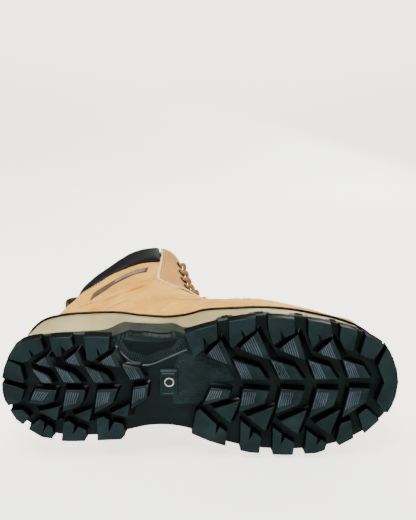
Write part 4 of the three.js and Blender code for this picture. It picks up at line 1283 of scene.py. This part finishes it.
def add_label():
    flat = {"unevenness": 0, "slot": "webbing"}
    upper_sheet("side_label_weave", label_at, (9, 44), 0.4, 1.5, LABEL_WEAVE, step=1.6, round_edge=0.6,
                replaces=("side_label",), **flat)
    upper_sheet("side_label_inset", lambda p, q: label_at(lerp(0.22, 0.78, p), lerp(0.06, 0.6, q)), (4, 26),
                1.2, 1.75, LABEL_PATCH, step=1.4, round_edge=0.3, **flat)
    marks = Solid()
    span = np.linspace(0.3, 0.68, 6)
    for k in range(7):
        t, angle = label_at(lerp(0.22, 0.78, span), np.full(6, 0.1 + 0.065 * k))
        marks.add(*tube(upper_point(t, angle + 1.2 * span, 1.85), 0.3, 6))
    marks.piece("side_label_bars", [LABEL_WEAVE], "webbing", sharp=60)


def add_pull_loop():
    low, high = upper_point(18.65, 180, 0), upper_point(20.0, 180, 0)
    length = np.linalg.norm(high - low)
    up = (high - low) / length
    across = np.array([1.0, 0, 0])
    out = np.cross(up, across)
    base = float(np.dot(upper_point(19.3, 180, 0) - low, out)) + 0.9
    # The webbing's middle, as (share of the length, height off the leather).
    line = [(0.0, 0.7), (0.13, 0.8), (0.17, 1.4), (0.22, 4.2), (0.32, 7.2), (0.5, 8.2), (0.68, 7.2),
            (0.78, 4.2), (0.83, 1.4), (0.87, 0.8), (1.0, 0.7)]
    flat = open_curve([(share * length, height) for share, height in line], 0.6)
    columns = 16
    points = []
    for (along, height), (ahead_up, ahead_out) in zip(flat, headings(flat)):
        for face in (1, -1):
            for k in range(columns + 1):
                lift = face * (0.15 + 0.62 * (1 - abs(k / columns * 2 - 1) ** 8))
                points.append(low + up * (along - ahead_out * lift) + out * (base + height + ahead_up * lift)
                              + across * (k / columns - 0.5) * LOOP_WIDTH * face)
    faces = ring_faces(len(flat), 2 * (columns + 1))
    face_outwards(new_piece("pull_loop_webbing", np.array(points), faces, WEBBING, "webbing",
                            replaces=("pull_loop",)))
    bars = Solid()
    for share in (0.05, 0.11, 0.89, 0.95):
        for k in range(8):
            start = low + up * (share * length) + out * (base + 1.6) + across * (-8.8 + 16 * k / 7)
            bars.add(*tube([start, start + across * 0.8 + out * 0.1, start + across * 1.6], 0.3, 6))
    bars.piece("pull_loop_bar_tacks", [THREAD], "webbing", sharp=60)


# ---------------------------------------------------------------- floor and light
def add_stage():
    look = Look("studio_paper")
    for socket, value in (("Base Color", linear("#f7f5ee")), ("Roughness", 0.95),
                          ("Emission Color", linear("#fffdf8")), ("Emission Strength", 2.1)):
        look.shader.inputs[socket].default_value = value
    # The paper is clear from behind.
    behind, clear = look.node("NewGeometry").outputs["Backfacing"], look.node("BsdfTransparent").outputs[0]
    mixed = look.node("MixShader", {}, {0: behind, 1: look.shader.outputs[0], 2: clear})
    look.tree.links.new(mixed.outputs[0], look.tree.nodes["Material Output"].inputs["Surface"])
    mesh = bpy.data.meshes.new("paper_floor")
    # The paper runs flat under the boot's side, then curves up into a wall behind it.
    level, far, bend, reach = 0.0615, 1.1, 0.5, 4.0
    turns = np.linspace(0, math.pi / 2, 24)
    bent = [(level - bend * (1 - math.cos(a)), far + bend * math.sin(a)) for a in turns]
    profile = [(level, -reach), *bent, (level - reach, far + bend)]
    points = [(x, y, z) for x, z in profile for y in (-reach, reach)]
    mesh.from_pydata(points, [], [[2 * k, 2 * k + 2, 2 * k + 3, 2 * k + 1] for k in range(len(profile) - 1)])
    mesh.shade_smooth()
    mesh.materials.append(look.material)
    floor = in_scene("paper_floor", mesh)
    floor.visible_shadow = floor.visible_glossy = False
    world = bpy.data.worlds.new("studio")
    bpy.context.scene.world = world
    world.use_nodes = True
    background = world.node_tree.nodes["Background"]
    background.inputs["Color"].default_value = (1, 1, 1, 1)
    background.inputs["Strength"].default_value = 0.2


add_camera()
add_stage()
add_softbox("key_above", (-0.9, 0.15, -0.12), (0, 0, 0.05), 0.7, 13)
add_softbox("fill_toe", (-0.35, -0.95, -0.2), (0, -0.05, 0.03), 0.5, 2.5)
add_softbox("rim_heel", (-0.3, 0.9, -0.15), (0, 0.05, 0.03), 0.4, 2.5)
add_softbox("top_general", (-0.5, -0.5, 1.2), (0, 0, 0.1), 0.9, 8)

add_cup()
add_tread()
add_plateau()
add_badge()
add_scoop_marks()
add_tab_recesses()
add_midsole()
add_rand()
add_leather()
add_inside()
add_seams()
add_scalloped_edge()
add_padding()
add_eyelets()
add_lace()
add_label()
add_pull_loop()
for cad_node, material in (("shank", SHANK_STEEL), ("insole_board", BOARD), ("bottom_filler", CORK)):
    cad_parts[cad_node].data.materials.clear()
    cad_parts[cad_node].data.materials.append(material)
